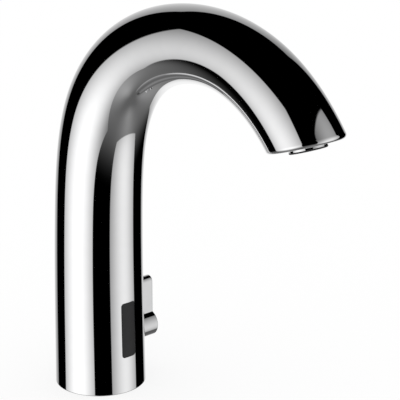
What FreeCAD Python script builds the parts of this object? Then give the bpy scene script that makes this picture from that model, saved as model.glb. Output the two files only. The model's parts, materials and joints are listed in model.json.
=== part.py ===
import FreeCAD, Part
import math
import os

# Deck-mounted sensor tap. Millimetres. Origin: centre of the base on the deck.
# +X runs from the column towards the outlet, +Y towards the mixing lever, +Z up.

V = FreeCAD.Vector
X_AXIS = V(1, 0, 0)
Y_AXIS = V(0, 1, 0)
Z_AXIS = V(0, 0, 1)

# ---- spout shell -------------------------------------------------------------------
BASE_RADIUS = 25.0
COLUMN_RADIUS = 23.0
COLUMN_TAPER_LENGTH = 150.0
TIP_RADIUS = 18.7
TIP_TAPER_LENGTH = 280.0
SHELL_WALL = 3.0
COLUMN_HEIGHT = 105.5
COLUMN_START = 15.0
SHOULDER_REACH = 6.9
SHOULDER_RISE = 63.6
CROWN_REACH = 60.9
CROWN_RISE = 104.7
BROW_REACH = 127.4
BROW_RISE = 95.5
TIP_REACH = 153.5
TIP_RISE = 60.5
OUTLET_TILT = 18.5
OUTLET_SETBACK = 0.1
OUTLET_WALL = 4.0
RIM_ROUND = 2.0
BASE_ROUND = 0.5
LOFT_SECTIONS = 32
LOFT_OVERRUN = 9.0

# ---- general fits ------------------------------------------------------------------
SEAT_GAP = 0.2
MOVING_GAP = 0.3
LAPPED_GAP = 0.1
THREAD_FIT = 0.05
RUNNING_FIT = 0.08

# ---- base: seal, plate, lugs, screws -------------------------------------------------
BASE_SEAL_HEIGHT = 1.2
BASE_SEAL_WIDTH = 5.0
PLATE_THICKNESS = 8.0
LUG_INSET = 4.2
LUG_RADIUS = 4.8
LUG_HEIGHT = 7.5
LUG_ANGLES = (40.0, 180.0, 320.0)
BASE_SCREW_RADIUS = 2.0
BASE_SCREW_HEAD_RADIUS = 3.5
BASE_SCREW_HEAD_HEIGHT = 4.0
BASE_SCREW_GRIP = 6.0
HEX_SOCKET_SHARE = 0.5
STUD_HOLE_RADIUS = 3.35
STUD_PLACE = (0.0, 0.0)
INLET_RADIUS = 3.46
INLET_DEPTH = 7.0
HOT_INLET_PLACE = (2.5, -12.5)
COLD_INLET_PLACE = (-7.4, -11.2)
CABLE_INSET = 8.9
CABLE_HOLE_RADIUS = 2.8
GROMMET_LIP = 0.8
GROMMET_BORE_RADIUS = 1.8
FRONT_SCREW_INSET = 3.0
FRONT_SCREW_SIDE = -4.0
REAR_SCREW_INSET = 6.0
REAR_SCREW_SIDE = 5.0
BLOCK_SCREW_RADIUS = 1.5
BLOCK_SCREW_HEAD_RADIUS = 2.7
BLOCK_SCREW_HEAD_HEIGHT = 2.6
BLOCK_SCREW_GRIP = 3.2

# ---- mixing valve --------------------------------------------------------------------
LEVER_HEIGHT = 24.1
BLOCK_RADIUS = 18.6
BLOCK_TOP = 39.0
CARTRIDGE_RADIUS = 8.0
CARTRIDGE_BACK = -2.5
CARTRIDGE_SEAL_THICKNESS = 1.0
PORT_OFFSET = 4.6
PORT_RADIUS = 1.3
DISC_RADIUS = 6.7
DISC_THICKNESS = 2.3
DISC_RECESS_DEPTH = 1.2
DRIVE_PLATE_THICKNESS = 2.0
HOUSING_WALL = 0.9
HOUSING_LENGTH = 13.5
HOUSING_NOSE = 1.0
SPINDLE_RADIUS = 3.0
SPINDLE_FLAT_DEPTH = 0.6
ORING_SECTION_RADIUS = 0.62
ORING_PITCH = 2.4
CARTRIDGE_NUT_LENGTH = 4.0
NUT_BORE_GAP = 0.6
STOP_RING_THICKNESS = 2.0
STOP_RING_RADIUS = 5.8
STOP_LUG_HEIGHT = 1.5
STOP_LUG_ROOT = 1.0
STOP_LUG_HALF_ANGLE = 12.0
STOP_EAR_ANGLE = 14.0
LEVER_SWING = 45.0
STOP_CLEAR_ANGLE = 3.0

# ---- mixing lever ---------------------------------------------------------------------
HUB_RADIUS = 7.6
HUB_REACH = 11.7
HUB_INSET = 3.8
HUB_CAP = 4.5
SPINDLE_END_GAP = 0.4
BLADE_THICKNESS = 6.2
BLADE_WIDTH = 9.0
BLADE_TOP = 52.2
BLADE_EDGE = 0.35
BUSH_WALL = 0.6
BUSH_INSET = 4.2
BUSH_LENGTH = 2.9
GRUB_INSET = 8.4
GRUB_RADIUS = 2.0
GRUB_SINK = 0.6

# ---- inlet filters and check valves -------------------------------------------------------
CHECK_RADIUS = 3.4
CHECK_WALL = 0.7
CHECK_LENGTH = 9.0
CHECK_SEAT_THICKNESS = 1.2
CHECK_SEAT_RADIUS = 1.5
CHECK_GUIDE_THICKNESS = 1.0
POPPET_RADIUS = 2.15
POPPET_THICKNESS = 1.0
POPPET_STEM_RADIUS = 0.6
POPPET_TRAVEL = 1.2
CHECK_SPRING_WALL = 0.4
FILTER_THICKNESS = 1.0
FILTER_RIM = 0.8
FILTER_WEB = 0.5
PASSAGE_RADIUS = 2.2
CHANNEL_RADIUS = 1.6

# ---- solenoid valve -------------------------------------------------------------------------
SOLENOID_X = -0.6
SEAT_BORE_RADIUS = 2.0
SEAT_WALL = 1.2
SEAT_RECESS_DEPTH = 2.0
SEAT_DROP = 0.6
MIXED_PORT_PLACE = (-4.0, 4.5)
MIXED_PORT_RADIUS = 1.4
OUTFLOW_HEIGHT = 34.6
DIAPHRAGM_RADIUS = 8.6
DIAPHRAGM_THICKNESS = 1.2
CORE_RADIUS = 4.8
CORE_THICKNESS = 1.4
PILOT_RADIUS = 0.6
BONNET_RADIUS = 9.0
BONNET_CAVITY_HEIGHT = 3.0
BONNET_FLANGE_HEIGHT = 4.4
PLUNGER_RADIUS = 4.0
PLUNGER_LENGTH = 16.0
PLUNGER_TIP_RADIUS = 1.8
PLUNGER_SEAL_LENGTH = 1.0
PLUNGER_TRAVEL = 1.8
CORE_TUBE_WALL = 0.8
POLE_PIECE_LENGTH = 7.0
POLE_STUD_LENGTH = 4.0
POLE_STUD_RADIUS = 2.0
COIL_RADIUS = 8.0
COIL_FLANGE = 1.0
YOKE_SHEET = 1.2
YOKE_WIDTH = 13.0
SPRING_RADIUS = 2.0
SPRING_WALL = 0.5
SPRING_POCKET_DEPTH = 8.0
COIL_NUT_HEIGHT = 2.6
COIL_NUT_RADIUS = 6.2

# ---- sensor unit ------------------------------------------------------------------------------
WINDOW_WIDTH = 9.4
WINDOW_BOTTOM = 20.5
WINDOW_TOP = 52.0
WINDOW_CORNER = 1.7
WINDOW_FIT = 0.15
WINDOW_FLANGE_MARGIN = 1.7
WINDOW_FLANGE_THICKNESS = 1.2
WINDOW_SEAL_THICKNESS = 0.8
WINDOW_SEAL_WIDTH = 1.4
SENSOR_BOX_WALL = 1.0
SENSOR_BOX_DEPTH = 6.1
BOARD_THICKNESS = 1.4
BOARD_STANDOFF = 0.8
BOARD_CLEARANCE = 0.2
EMITTER_HEIGHT = 44.5
RECEIVER_HEIGHT = 28.0
DIODE_RADIUS = 1.6
DIODE_FLANGE = 0.5
BRACKET_SHEET = 1.0
BRACKET_BOTTOM = 12.0
BRACKET_MARGIN = 0.1
BRACKET_LUG_GAP = 0.7
BRACKET_SCREW_HEIGHT = 15.0
BRACKET_SCREW_RADIUS = 1.25
BRACKET_SCREW_HEAD_RADIUS = 1.9
BRACKET_SCREW_HEAD_HEIGHT = 1.2
BRACKET_SCREW_LENGTH = 4.0
LEAD_RADIUS = 0.9
LEAD_COIL_INSET = 4.0

# ---- water path to the outlet ---------------------------------------------------------------------
TUBE_X = -14.0
TUBE_RADIUS = 3.5
TUBE_WALL = 1.0
NIPPLE_THREAD_RADIUS = 3.4
NIPPLE_HEX_RADIUS = 4.1
NIPPLE_HEX_HEIGHT = 3.0
NIPPLE_LENGTH = 8.0
NIPPLE_BORE_RADIUS = 1.6
TUBE_STRAIGHT_TOP = 78.0
TUBE_ROUTE = ((125.0, 10.5), (167.0, 6.0), (207.0, 4.0), (243.0, 4.0), (276.0, 5.5))
TUBE_LAST_RUN = 13.0
ARC_SHARE = 0.45

# ---- outlet: adapter and aerator (depths are measured up from the outlet face) ----------------------
AERATOR_RADIUS = 9.4
AERATOR_PROUD = 2.1
AERATOR_INSIDE = 9.0
AERATOR_WALL = 1.2
AERATOR_LIP = 1.1
AERATOR_LIP_HEIGHT = 1.0
AERATOR_EDGE = 0.5
AERATOR_FIT = 0.12
BOSS_WALL = 2.8
BOSS_FLOOR = 3.0
ADAPTER_FLANGE = 3.0
AERATOR_SEAL_THICKNESS = 1.2
AERATOR_SEAL_WIDTH = 2.2
INSERT_THICKNESS = 5.5
INSERT_HOLE_RADIUS = 0.75
INSERT_HOLE_CIRCLES = (0.0, 2.3, 4.6, 6.4)
SCREEN_THICKNESS = 0.6
SCREEN_GAP = 0.8
SCREEN_RIM = 0.9
SCREEN_WIRE = 0.35
SCREEN_PITCH = 1.5

# ---- places worked out from the sizes above ---------------------------------------------------------
PLATE_BOTTOM = BASE_SEAL_HEIGHT
PLATE_TOP = PLATE_BOTTOM + PLATE_THICKNESS
LUG_TOP = PLATE_TOP + LUG_HEIGHT
COLUMN_SLOPE = (COLUMN_RADIUS - BASE_RADIUS) / COLUMN_TAPER_LENGTH
FOOT_INSIDE = BASE_RADIUS + COLUMN_SLOPE * PLATE_TOP - SHELL_WALL
LUG_CIRCLE = FOOT_INSIDE - LUG_INSET
LUG_SIDE = LUG_CIRCLE * math.sin(math.radians(LUG_ANGLES[0]))
CABLE_PLACE = (FOOT_INSIDE - CABLE_INSET, 0.0)
SHELL_AT_LEVER = BASE_RADIUS + COLUMN_SLOPE * LEVER_HEIGHT
HUB_END = SHELL_AT_LEVER + HUB_REACH
HUB_START = SHELL_AT_LEVER - HUB_INSET
SOCKET_END = HUB_END - HUB_CAP
GRUB_PLACE = HUB_END - GRUB_INSET
BUSH_START = SHELL_AT_LEVER - BUSH_INSET
INSIDE_AT_WINDOW = BASE_RADIUS + COLUMN_SLOPE * WINDOW_TOP - SHELL_WALL
SEAL_EDGE = WINDOW_WIDTH / 2 + WINDOW_SEAL_WIDTH
SEAL_FRONT = math.sqrt(INSIDE_AT_WINDOW**2 - SEAL_EDGE**2) - MOVING_GAP
WINDOW_FLANGE_FRONT = SEAL_FRONT - WINDOW_SEAL_THICKNESS
WINDOW_FLANGE_BACK = WINDOW_FLANGE_FRONT - WINDOW_FLANGE_THICKNESS
SENSOR_BOX_BACK = WINDOW_FLANGE_BACK - SENSOR_BOX_DEPTH
BLOCK_FRONT = SENSOR_BOX_BACK - BRACKET_SHEET
BRACKET_SCREW_SPREAD = LUG_SIDE - LUG_RADIUS - BRACKET_LUG_GAP - BRACKET_SCREW_HEAD_RADIUS
BRACKET_WIDTH = 2 * (BRACKET_SCREW_SPREAD + BRACKET_SCREW_HEAD_RADIUS + BRACKET_MARGIN)
BRACKET_BACK = BLOCK_FRONT
FRONT_SCREW_PLACE = (BLOCK_FRONT - FRONT_SCREW_INSET, FRONT_SCREW_SIDE)
REAR_SCREW_PLACE = (REAR_SCREW_INSET - LUG_CIRCLE, REAR_SCREW_SIDE)
BLOCK_SCREW_PLACES = (FRONT_SCREW_PLACE, REAR_SCREW_PLACE)
CHAMBER_RADIUS = CARTRIDGE_RADIUS + SEAT_GAP
FIXED_DISC_START = CARTRIDGE_BACK + CARTRIDGE_SEAL_THICKNESS
MOVING_DISC_START = FIXED_DISC_START + DISC_THICKNESS + LAPPED_GAP
DRIVE_PLATE_START = MOVING_DISC_START + DISC_THICKNESS
DRIVE_PLATE_END = DRIVE_PLATE_START + DRIVE_PLATE_THICKNESS
HOUSING_SHOULDER = DRIVE_PLATE_END + MOVING_GAP
HOUSING_END = FIXED_DISC_START + HOUSING_LENGTH
NUT_END = HOUSING_END + CARTRIDGE_NUT_LENGTH
SPINDLE_BORE = SPINDLE_RADIUS + RUNNING_FIT
ORING_MEAN_RADIUS = SPINDLE_BORE + ORING_SECTION_RADIUS
ORING_BORE = ORING_MEAN_RADIUS + ORING_SECTION_RADIUS
STOP_RING_START = NUT_END + MOVING_GAP
CHECK_BOTTOM = PLATE_TOP + FILTER_THICKNESS
CHECK_TOP = CHECK_BOTTOM + CHECK_LENGTH
CHECK_BORE = CHECK_RADIUS + SEAT_GAP / 2
POPPET_BOTTOM = CHECK_BOTTOM + CHECK_SEAT_THICKNESS + LAPPED_GAP
CHECK_GUIDE_BOTTOM = CHECK_TOP - CHECK_GUIDE_THICKNESS
SEAT_TOP = BLOCK_TOP - SEAT_DROP
DIAPHRAGM_TOP = BLOCK_TOP + DIAPHRAGM_THICKNESS
CORE_BOTTOM = SEAT_TOP + LAPPED_GAP
CORE_TOP = DIAPHRAGM_TOP + CORE_THICKNESS / 2
BONNET_CAVITY_TOP = DIAPHRAGM_TOP + BONNET_CAVITY_HEIGHT
BONNET_TOP = DIAPHRAGM_TOP + BONNET_FLANGE_HEIGHT
PLUNGER_SEAL_BOTTOM = CORE_TOP + LAPPED_GAP
PLUNGER_BODY_BOTTOM = BONNET_CAVITY_TOP + MOVING_GAP
PLUNGER_TOP = PLUNGER_BODY_BOTTOM + PLUNGER_LENGTH
POLE_BOTTOM = PLUNGER_TOP + PLUNGER_TRAVEL + MOVING_GAP
POLE_TOP = POLE_BOTTOM + POLE_PIECE_LENGTH
TUBE_BORE = PLUNGER_RADIUS + RUNNING_FIT
CORE_TUBE_RADIUS = TUBE_BORE + CORE_TUBE_WALL
COIL_BOTTOM = BONNET_TOP + YOKE_SHEET
YOKE_TOP = POLE_TOP
COIL_TOP = YOKE_TOP - YOKE_SHEET
CORE_TUBE_TOP = POLE_TOP
POLE_STUD_TOP = CORE_TUBE_TOP + POLE_STUD_LENGTH
WINDOW_MIDDLE = (WINDOW_BOTTOM + WINDOW_TOP) / 2
WINDOW_HEIGHT = WINDOW_TOP - WINDOW_BOTTOM
FLANGE_WIDTH = WINDOW_WIDTH + 2 * WINDOW_FLANGE_MARGIN
FLANGE_HEIGHT = WINDOW_HEIGHT + 2 * WINDOW_FLANGE_MARGIN
BOARD_BACK = SENSOR_BOX_BACK + SENSOR_BOX_WALL + BOARD_STANDOFF
BOARD_FRONT = BOARD_BACK + BOARD_THICKNESS
AERATOR_BORE = AERATOR_RADIUS + AERATOR_FIT
AERATOR_TOP = -AERATOR_INSIDE
ADAPTER_FACE = AERATOR_TOP - AERATOR_SEAL_THICKNESS
ADAPTER_SHOULDER = ADAPTER_FACE - ADAPTER_FLANGE
BOSS_TOP = ADAPTER_SHOULDER - BOSS_FLOOR
TUBE_BORE_RADIUS = TUBE_RADIUS - TUBE_WALL
BARB_RADIUS = TUBE_BORE_RADIUS - THREAD_FIT

# ---- reach of the cutting solids, and how edges are picked --------------------------------------------
FAR = 400.0
OUTLET_CUT = 100.0
BOSS_RUN_OUT = 10.0
CUT_OVERRUN = 1.0
SPLINE_DEGREE = 3
PARALLEL_SHARE = 0.9
TOUCHING = 0.01
EDGE_SAMPLES = (0.1, 0.5, 0.9)


def cylinder(radius, start, end, place=(0.0, 0.0), axis=Z_AXIS):
    """A round bar along Z at (x, y), or along Y at (x, z), or along X at (y, z)."""
    if axis == Y_AXIS:
        base = V(place[0], start, place[1])
    elif axis == X_AXIS:
        base = V(start, place[0], place[1])
    else:
        base = V(place[0], place[1], start)
    return Part.makeCylinder(radius, end - start, base, axis)


def ring(outer, inner, start, end, place=(0.0, 0.0), axis=Z_AXIS):
    """A round bar with a round bore."""
    return cylinder(outer, start, end, place, axis).cut(cylinder(inner, start, end, place, axis))


def block(low, high):
    """A box between two opposite corners."""
    return Part.makeBox(high[0] - low[0], high[1] - low[1], high[2] - low[2], V(*low))


def rounded_prism_x(width, height, corner, middle, start, end):
    """A bar along X whose section is a rounded rectangle centred at (0, middle)."""
    bar = block((start, -width / 2, middle - height / 2), (end, width / 2, middle + height / 2))
    long_edges = [e for e in bar.Edges if abs(e.tangentAt(e.FirstParameter).x) > PARALLEL_SHARE]
    return bar.makeFillet(corner, long_edges)


def hexagon(radius, start, end, place=(0.0, 0.0)):
    """A six-sided bar along Z; radius is to its corners."""
    corners = []
    for k in range(7):
        angle = math.radians(60.0 * k)
        corners.append(V(place[0] + radius * math.cos(angle), place[1] + radius * math.sin(angle), start))
    return Part.Face(Part.makePolygon(corners)).extrude(V(0, 0, end - start))


def polar(radius, degrees):
    """A point on a circle about the Z axis."""
    angle = math.radians(degrees)
    return (radius * math.cos(angle), radius * math.sin(angle))


def cap_screw(place, bottom, head_radius, head_height, radius, length):
    """A socket-head screw that points up, with its head at the bottom."""
    head = cylinder(head_radius, bottom, bottom + head_height, place)
    shank = cylinder(radius, bottom + head_height, bottom + head_height + length, place)
    socket = hexagon(head_radius * HEX_SOCKET_SHARE, bottom, bottom + head_height * HEX_SOCKET_SHARE, place)
    return head.fuse(shank).cut(socket)


def centre_line():
    """The spout's centre line: an upright column that runs into one arch."""
    poles = [V(0, 0, 0), V(0, 0, COLUMN_START / 2), V(0, 0, COLUMN_START), V(0, 0, COLUMN_HEIGHT)]
    poles.append(V(SHOULDER_REACH, 0, COLUMN_HEIGHT + SHOULDER_RISE))
    poles.append(V(CROWN_REACH, 0, COLUMN_HEIGHT + CROWN_RISE))
    poles.append(V(BROW_REACH, 0, COLUMN_HEIGHT + BROW_RISE))
    poles.append(V(TIP_REACH, 0, COLUMN_HEIGHT + TIP_RISE))
    spans = len(poles) - SPLINE_DEGREE
    knots = [k / spans for k in range(spans + 1)]
    mults = [SPLINE_DEGREE + 1] + [1] * (spans - 1) + [SPLINE_DEGREE + 1]
    line = Part.BSplineCurve()
    line.buildFromPolesMultsKnots(poles, mults, knots, False, SPLINE_DEGREE)
    return line


CENTRE_LINE = centre_line()
CENTRE_LENGTH = CENTRE_LINE.length()


def station(distance):
    """The point and direction of the centre line at a distance along it, carried on straight past its end."""
    on_line = min(distance, CENTRE_LENGTH)
    parameter = CENTRE_LINE.parameterAtDistance(on_line, 0.0) if on_line > 0 else 0.0
    point = CENTRE_LINE.value(parameter)
    direction = V(*CENTRE_LINE.tangent(parameter)[0])
    return point + direction * (distance - on_line), direction


def spout_radius(distance):
    """A straight taper up the column, then an easing taper to the parallel tip."""
    if distance <= COLUMN_TAPER_LENGTH:
        return BASE_RADIUS + COLUMN_SLOPE * distance
    if distance >= TIP_TAPER_LENGTH:
        return TIP_RADIUS
    span = TIP_TAPER_LENGTH - COLUMN_TAPER_LENGTH
    u = (distance - COLUMN_TAPER_LENGTH) / span
    start_part = (2 * u**3 - 3 * u**2 + 1) * COLUMN_RADIUS
    slope_part = (u**3 - 2 * u**2 + u) * span * COLUMN_SLOPE
    end_part = (3 * u**2 - 2 * u**3) * TIP_RADIUS
    return start_part + slope_part + end_part


def turn_to(direction):
    """The turn about Y that brings +Z to a direction in the XZ plane."""
    return FreeCAD.Rotation(Y_AXIS, math.degrees(math.atan2(direction.x, direction.z)))


def spout_form(inset):
    """The solid form of the spout, drawn in by an inset, from the deck to just past the outlet."""
    wires = []
    total = CENTRE_LENGTH + LOFT_OVERRUN
    for k in range(LOFT_SECTIONS + 1):
        distance = total * k / LOFT_SECTIONS
        point, direction = station(distance)
        circle = Part.Circle(V(0, 0, 0), Z_AXIS, spout_radius(distance) - inset).toShape()
        circle.Placement = FreeCAD.Placement(point, turn_to(direction))
        wires.append(Part.Wire([circle]))
    return Part.makeLoft(wires, True, False)


def outlet_placement():
    """The outlet's own frame: origin in the outlet face, +Z out of the spout."""
    tip, direction = station(CENTRE_LENGTH)
    return FreeCAD.Placement(tip - direction * OUTLET_SETBACK, FreeCAD.Rotation(Y_AXIS, 180.0 - OUTLET_TILT))


def at_outlet(shape):
    """Moves a shape from the outlet's own frame to its place."""
    moved = shape.copy()
    moved.Placement = outlet_placement()
    return moved


def inner_radius(height):
    """The shell's inside radius at a height in the straight column."""
    return spout_radius(height) - SHELL_WALL


def outer_form():
    """The outside of the spout, cut off at the tilted outlet face, with its rim rounded."""
    beyond = at_outlet(block((-OUTLET_CUT, -OUTLET_CUT, 0), (OUTLET_CUT, OUTLET_CUT, OUTLET_CUT)))
    form = spout_form(0.0).cut(beyond)
    outlet = outlet_placement()
    normal = outlet.Rotation.multVec(Z_AXIS)
    rim = []
    foot = []
    for edge in form.Edges:
        points = [edge.valueAt(edge.FirstParameter + f * (edge.LastParameter - edge.FirstParameter))
                  for f in EDGE_SAMPLES]
        if all(abs((p - outlet.Base).dot(normal)) < TOUCHING for p in points):
            rim.append(edge)
        if all(abs(p.z) < TOUCHING for p in points):
            foot.append(edge)
    return form.makeFillet(RIM_ROUND, rim).makeFillet(BASE_ROUND, foot[:1])


def inner_form():
    """The hollow of the spout, closed off above the outlet's end wall."""
    beyond = at_outlet(block((-OUTLET_CUT, -OUTLET_CUT, -OUTLET_WALL), (OUTLET_CUT, OUTLET_CUT, OUTLET_CUT)))
    return spout_form(SHELL_WALL).cut(beyond)


def make_spout_body(outer):
    """The one-piece shell, with its screw lugs, outlet boss, sensor opening and lever bore."""
    shell = outer.cut(inner_form())
    boss = at_outlet(cylinder(AERATOR_BORE + BOSS_WALL, BOSS_TOP, -OUTLET_WALL / 2)).common(outer)
    shell = shell.fuse(boss)
    for degrees in LUG_ANGLES:
        place = polar(LUG_CIRCLE, degrees)
        shell = shell.fuse(cylinder(LUG_RADIUS, PLATE_TOP, LUG_TOP, place))
    for degrees in LUG_ANGLES:
        place = polar(LUG_CIRCLE, degrees)
        hole_top = PLATE_TOP + BASE_SCREW_GRIP + MOVING_GAP
        shell = shell.cut(cylinder(BASE_SCREW_RADIUS + THREAD_FIT, PLATE_TOP - CUT_OVERRUN, hole_top, place))
    shell = shell.cut(at_outlet(cylinder(AERATOR_BORE, ADAPTER_SHOULDER, OUTLET_CUT)))
    shell = shell.cut(at_outlet(cylinder(TUBE_RADIUS + SEAT_GAP, BOSS_TOP - BOSS_RUN_OUT, 0)))
    opening = rounded_prism_x(WINDOW_WIDTH, WINDOW_HEIGHT, WINDOW_CORNER, WINDOW_MIDDLE,
                              WINDOW_FLANGE_BACK, BASE_RADIUS + CUT_OVERRUN)
    shell = shell.cut(opening)
    lever_bore = cylinder(HUB_RADIUS + RUNNING_FIT + BUSH_WALL, HUB_START - SHELL_WALL,
                          BASE_RADIUS + CUT_OVERRUN, (0, LEVER_HEIGHT), Y_AXIS)
    return shell.cut(lever_bore).removeSplitter()


def make_base_seal():
    outer = inner_radius(0.0) - SEAT_GAP
    return ring(outer, outer - BASE_SEAL_WIDTH, 0.0, BASE_SEAL_HEIGHT)


def make_base_plate():
    """The brass foot: hose sockets, fixing-stud hole, cable hole and screw holes."""
    plate = cylinder(inner_radius(PLATE_TOP) - SEAT_GAP, PLATE_BOTTOM, PLATE_TOP)
    for degrees in LUG_ANGLES:
        place = polar(LUG_CIRCLE, degrees)
        plate = plate.cut(cylinder(BASE_SCREW_RADIUS + SEAT_GAP, PLATE_BOTTOM, PLATE_TOP, place))
        sink_top = PLATE_BOTTOM + BASE_SCREW_HEAD_HEIGHT
        plate = plate.cut(cylinder(BASE_SCREW_HEAD_RADIUS + SEAT_GAP, PLATE_BOTTOM, sink_top, place))
    for place in BLOCK_SCREW_PLACES:
        plate = plate.cut(cylinder(BLOCK_SCREW_RADIUS + SEAT_GAP, PLATE_BOTTOM, PLATE_TOP, place))
        sink_top = PLATE_BOTTOM + BLOCK_SCREW_HEAD_HEIGHT
        plate = plate.cut(cylinder(BLOCK_SCREW_HEAD_RADIUS + SEAT_GAP, PLATE_BOTTOM, sink_top, place))
    for place in (HOT_INLET_PLACE, COLD_INLET_PLACE):
        plate = plate.cut(cylinder(INLET_RADIUS, PLATE_BOTTOM, PLATE_BOTTOM + INLET_DEPTH, place))
        plate = plate.cut(cylinder(PASSAGE_RADIUS, PLATE_BOTTOM, PLATE_TOP, place))
    plate = plate.cut(cylinder(STUD_HOLE_RADIUS, PLATE_BOTTOM, PLATE_TOP, STUD_PLACE))
    return plate.cut(cylinder(CABLE_HOLE_RADIUS, PLATE_BOTTOM, PLATE_TOP, CABLE_PLACE))


def make_base_screws():
    screws = []
    length = PLATE_THICKNESS - BASE_SCREW_HEAD_HEIGHT + BASE_SCREW_GRIP
    for degrees in LUG_ANGLES:
        screws.append(cap_screw(polar(LUG_CIRCLE, degrees), PLATE_BOTTOM, BASE_SCREW_HEAD_RADIUS,
                                BASE_SCREW_HEAD_HEIGHT, BASE_SCREW_RADIUS, length))
    return Part.makeCompound(screws)


def make_block_screws():
    screws = []
    length = PLATE_THICKNESS - BLOCK_SCREW_HEAD_HEIGHT + BLOCK_SCREW_GRIP
    for place in BLOCK_SCREW_PLACES:
        screws.append(cap_screw(place, PLATE_BOTTOM, BLOCK_SCREW_HEAD_RADIUS,
                                BLOCK_SCREW_HEAD_HEIGHT, BLOCK_SCREW_RADIUS, length))
    return Part.makeCompound(screws)


def make_cable_grommet():
    """The rubber inlet that a supply cable passes through."""
    body = cylinder(CABLE_HOLE_RADIUS - THREAD_FIT, PLATE_BOTTOM - GROMMET_LIP, PLATE_TOP + GROMMET_LIP,
                    CABLE_PLACE)
    lip_radius = CABLE_HOLE_RADIUS + GROMMET_LIP
    low_lip = cylinder(lip_radius, PLATE_BOTTOM - GROMMET_LIP, PLATE_BOTTOM, CABLE_PLACE)
    high_lip = cylinder(lip_radius, PLATE_TOP, PLATE_TOP + GROMMET_LIP, CABLE_PLACE)
    bore = cylinder(GROMMET_BORE_RADIUS, PLATE_BOTTOM - GROMMET_LIP, PLATE_TOP + GROMMET_LIP, CABLE_PLACE)
    return body.fuse([low_lip, high_lip]).cut(bore)


def make_valve_block():
    """The brass manifold: check-valve bores, cartridge chamber, diaphragm seat and outflow."""
    core = cylinder(BLOCK_RADIUS, PLATE_TOP, BLOCK_TOP)
    core = core.cut(block((BLOCK_FRONT, -FAR, 0), (FAR, FAR, FAR)))
    for degrees in LUG_ANGLES:
        core = core.cut(cylinder(LUG_RADIUS + SEAT_GAP, PLATE_TOP, LUG_TOP + SEAT_GAP,
                                 polar(LUG_CIRCLE, degrees)))
    for place in BLOCK_SCREW_PLACES:
        hole_top = PLATE_TOP + BLOCK_SCREW_GRIP + SEAT_GAP
        core = core.cut(cylinder(BLOCK_SCREW_RADIUS + THREAD_FIT, PLATE_TOP, hole_top, place))
    for side in (-1, 1):
        core = core.cut(cylinder(BRACKET_SCREW_RADIUS + THREAD_FIT, BLOCK_FRONT - BRACKET_SCREW_LENGTH,
                                 BLOCK_FRONT, (side * BRACKET_SCREW_SPREAD, BRACKET_SCREW_HEIGHT), X_AXIS))
    notch_radius = CABLE_HOLE_RADIUS + GROMMET_LIP + SEAT_GAP
    core = core.cut(cylinder(notch_radius, PLATE_TOP, PLATE_TOP + GROMMET_LIP + SEAT_GAP, CABLE_PLACE))
    axis_place = (0, LEVER_HEIGHT)
    core = core.cut(cylinder(CHAMBER_RADIUS, CARTRIDGE_BACK, BLOCK_RADIUS, axis_place, Y_AXIS))
    for place, port_x in ((HOT_INLET_PLACE, PORT_OFFSET), (COLD_INLET_PLACE, -PORT_OFFSET)):
        core = core.cut(cylinder(CHECK_BORE, PLATE_TOP, CHECK_TOP, place))
        core = core.cut(cylinder(PASSAGE_RADIUS, PLATE_TOP, LEVER_HEIGHT + CHANNEL_RADIUS, place))
        core = core.cut(cylinder(CHANNEL_RADIUS, place[1], CARTRIDGE_BACK, (port_x, LEVER_HEIGHT), Y_AXIS))
    core = core.cut(cylinder(MIXED_PORT_RADIUS, LEVER_HEIGHT, BLOCK_TOP, MIXED_PORT_PLACE))
    centre = (SOLENOID_X, 0)
    recess_radius = DIAPHRAGM_RADIUS - SEAT_WALL
    recess = cylinder(recess_radius, BLOCK_TOP - SEAT_RECESS_DEPTH, BLOCK_TOP, centre)
    recess = recess.cut(cylinder(SEAT_BORE_RADIUS + SEAT_WALL, 0, SEAT_TOP, centre))
    core = core.cut(recess)
    core = core.cut(cylinder(SEAT_BORE_RADIUS, OUTFLOW_HEIGHT - NIPPLE_BORE_RADIUS, BLOCK_TOP, centre))
    core = core.cut(cylinder(NIPPLE_BORE_RADIUS, TUBE_X, SOLENOID_X, (0, OUTFLOW_HEIGHT), X_AXIS))
    nipple_socket = cylinder(NIPPLE_THREAD_RADIUS + THREAD_FIT, OUTFLOW_HEIGHT - NIPPLE_BORE_RADIUS,
                             BLOCK_TOP, (TUBE_X, 0))
    return core.cut(nipple_socket)


def make_cartridge_seal():
    seal = cylinder(CARTRIDGE_RADIUS, CARTRIDGE_BACK, FIXED_DISC_START, (0, LEVER_HEIGHT), Y_AXIS)
    for side in (-1, 1):
        seal = seal.cut(cylinder(PORT_RADIUS, CARTRIDGE_BACK, FIXED_DISC_START,
                                 (side * PORT_OFFSET, LEVER_HEIGHT), Y_AXIS))
    return seal


def make_fixed_disc():
    """The fixed ceramic disc with its hot and cold ports."""
    end = FIXED_DISC_START + DISC_THICKNESS
    disc = cylinder(DISC_RADIUS, FIXED_DISC_START, end, (0, LEVER_HEIGHT), Y_AXIS)
    for side in (-1, 1):
        disc = disc.cut(cylinder(PORT_RADIUS, FIXED_DISC_START, end, (side * PORT_OFFSET, LEVER_HEIGHT),
                                 Y_AXIS))
    return disc


def make_moving_disc():
    """The turning ceramic disc: a recess in its face joins the ports to the mixing space."""
    end = MOVING_DISC_START + DISC_THICKNESS
    disc = cylinder(DISC_RADIUS - MOVING_GAP, MOVING_DISC_START, end, (0, LEVER_HEIGHT), Y_AXIS)
    recess_end = MOVING_DISC_START + DISC_RECESS_DEPTH
    recess = block((-PORT_OFFSET - PORT_RADIUS, MOVING_DISC_START, LEVER_HEIGHT - PORT_RADIUS),
                   (PORT_OFFSET + PORT_RADIUS, recess_end, LEVER_HEIGHT + PORT_RADIUS))
    outlet = block((-PORT_RADIUS, MOVING_DISC_START, LEVER_HEIGHT),
                   (PORT_RADIUS, recess_end, LEVER_HEIGHT + DISC_RADIUS))
    return disc.cut(recess).cut(outlet)


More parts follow.
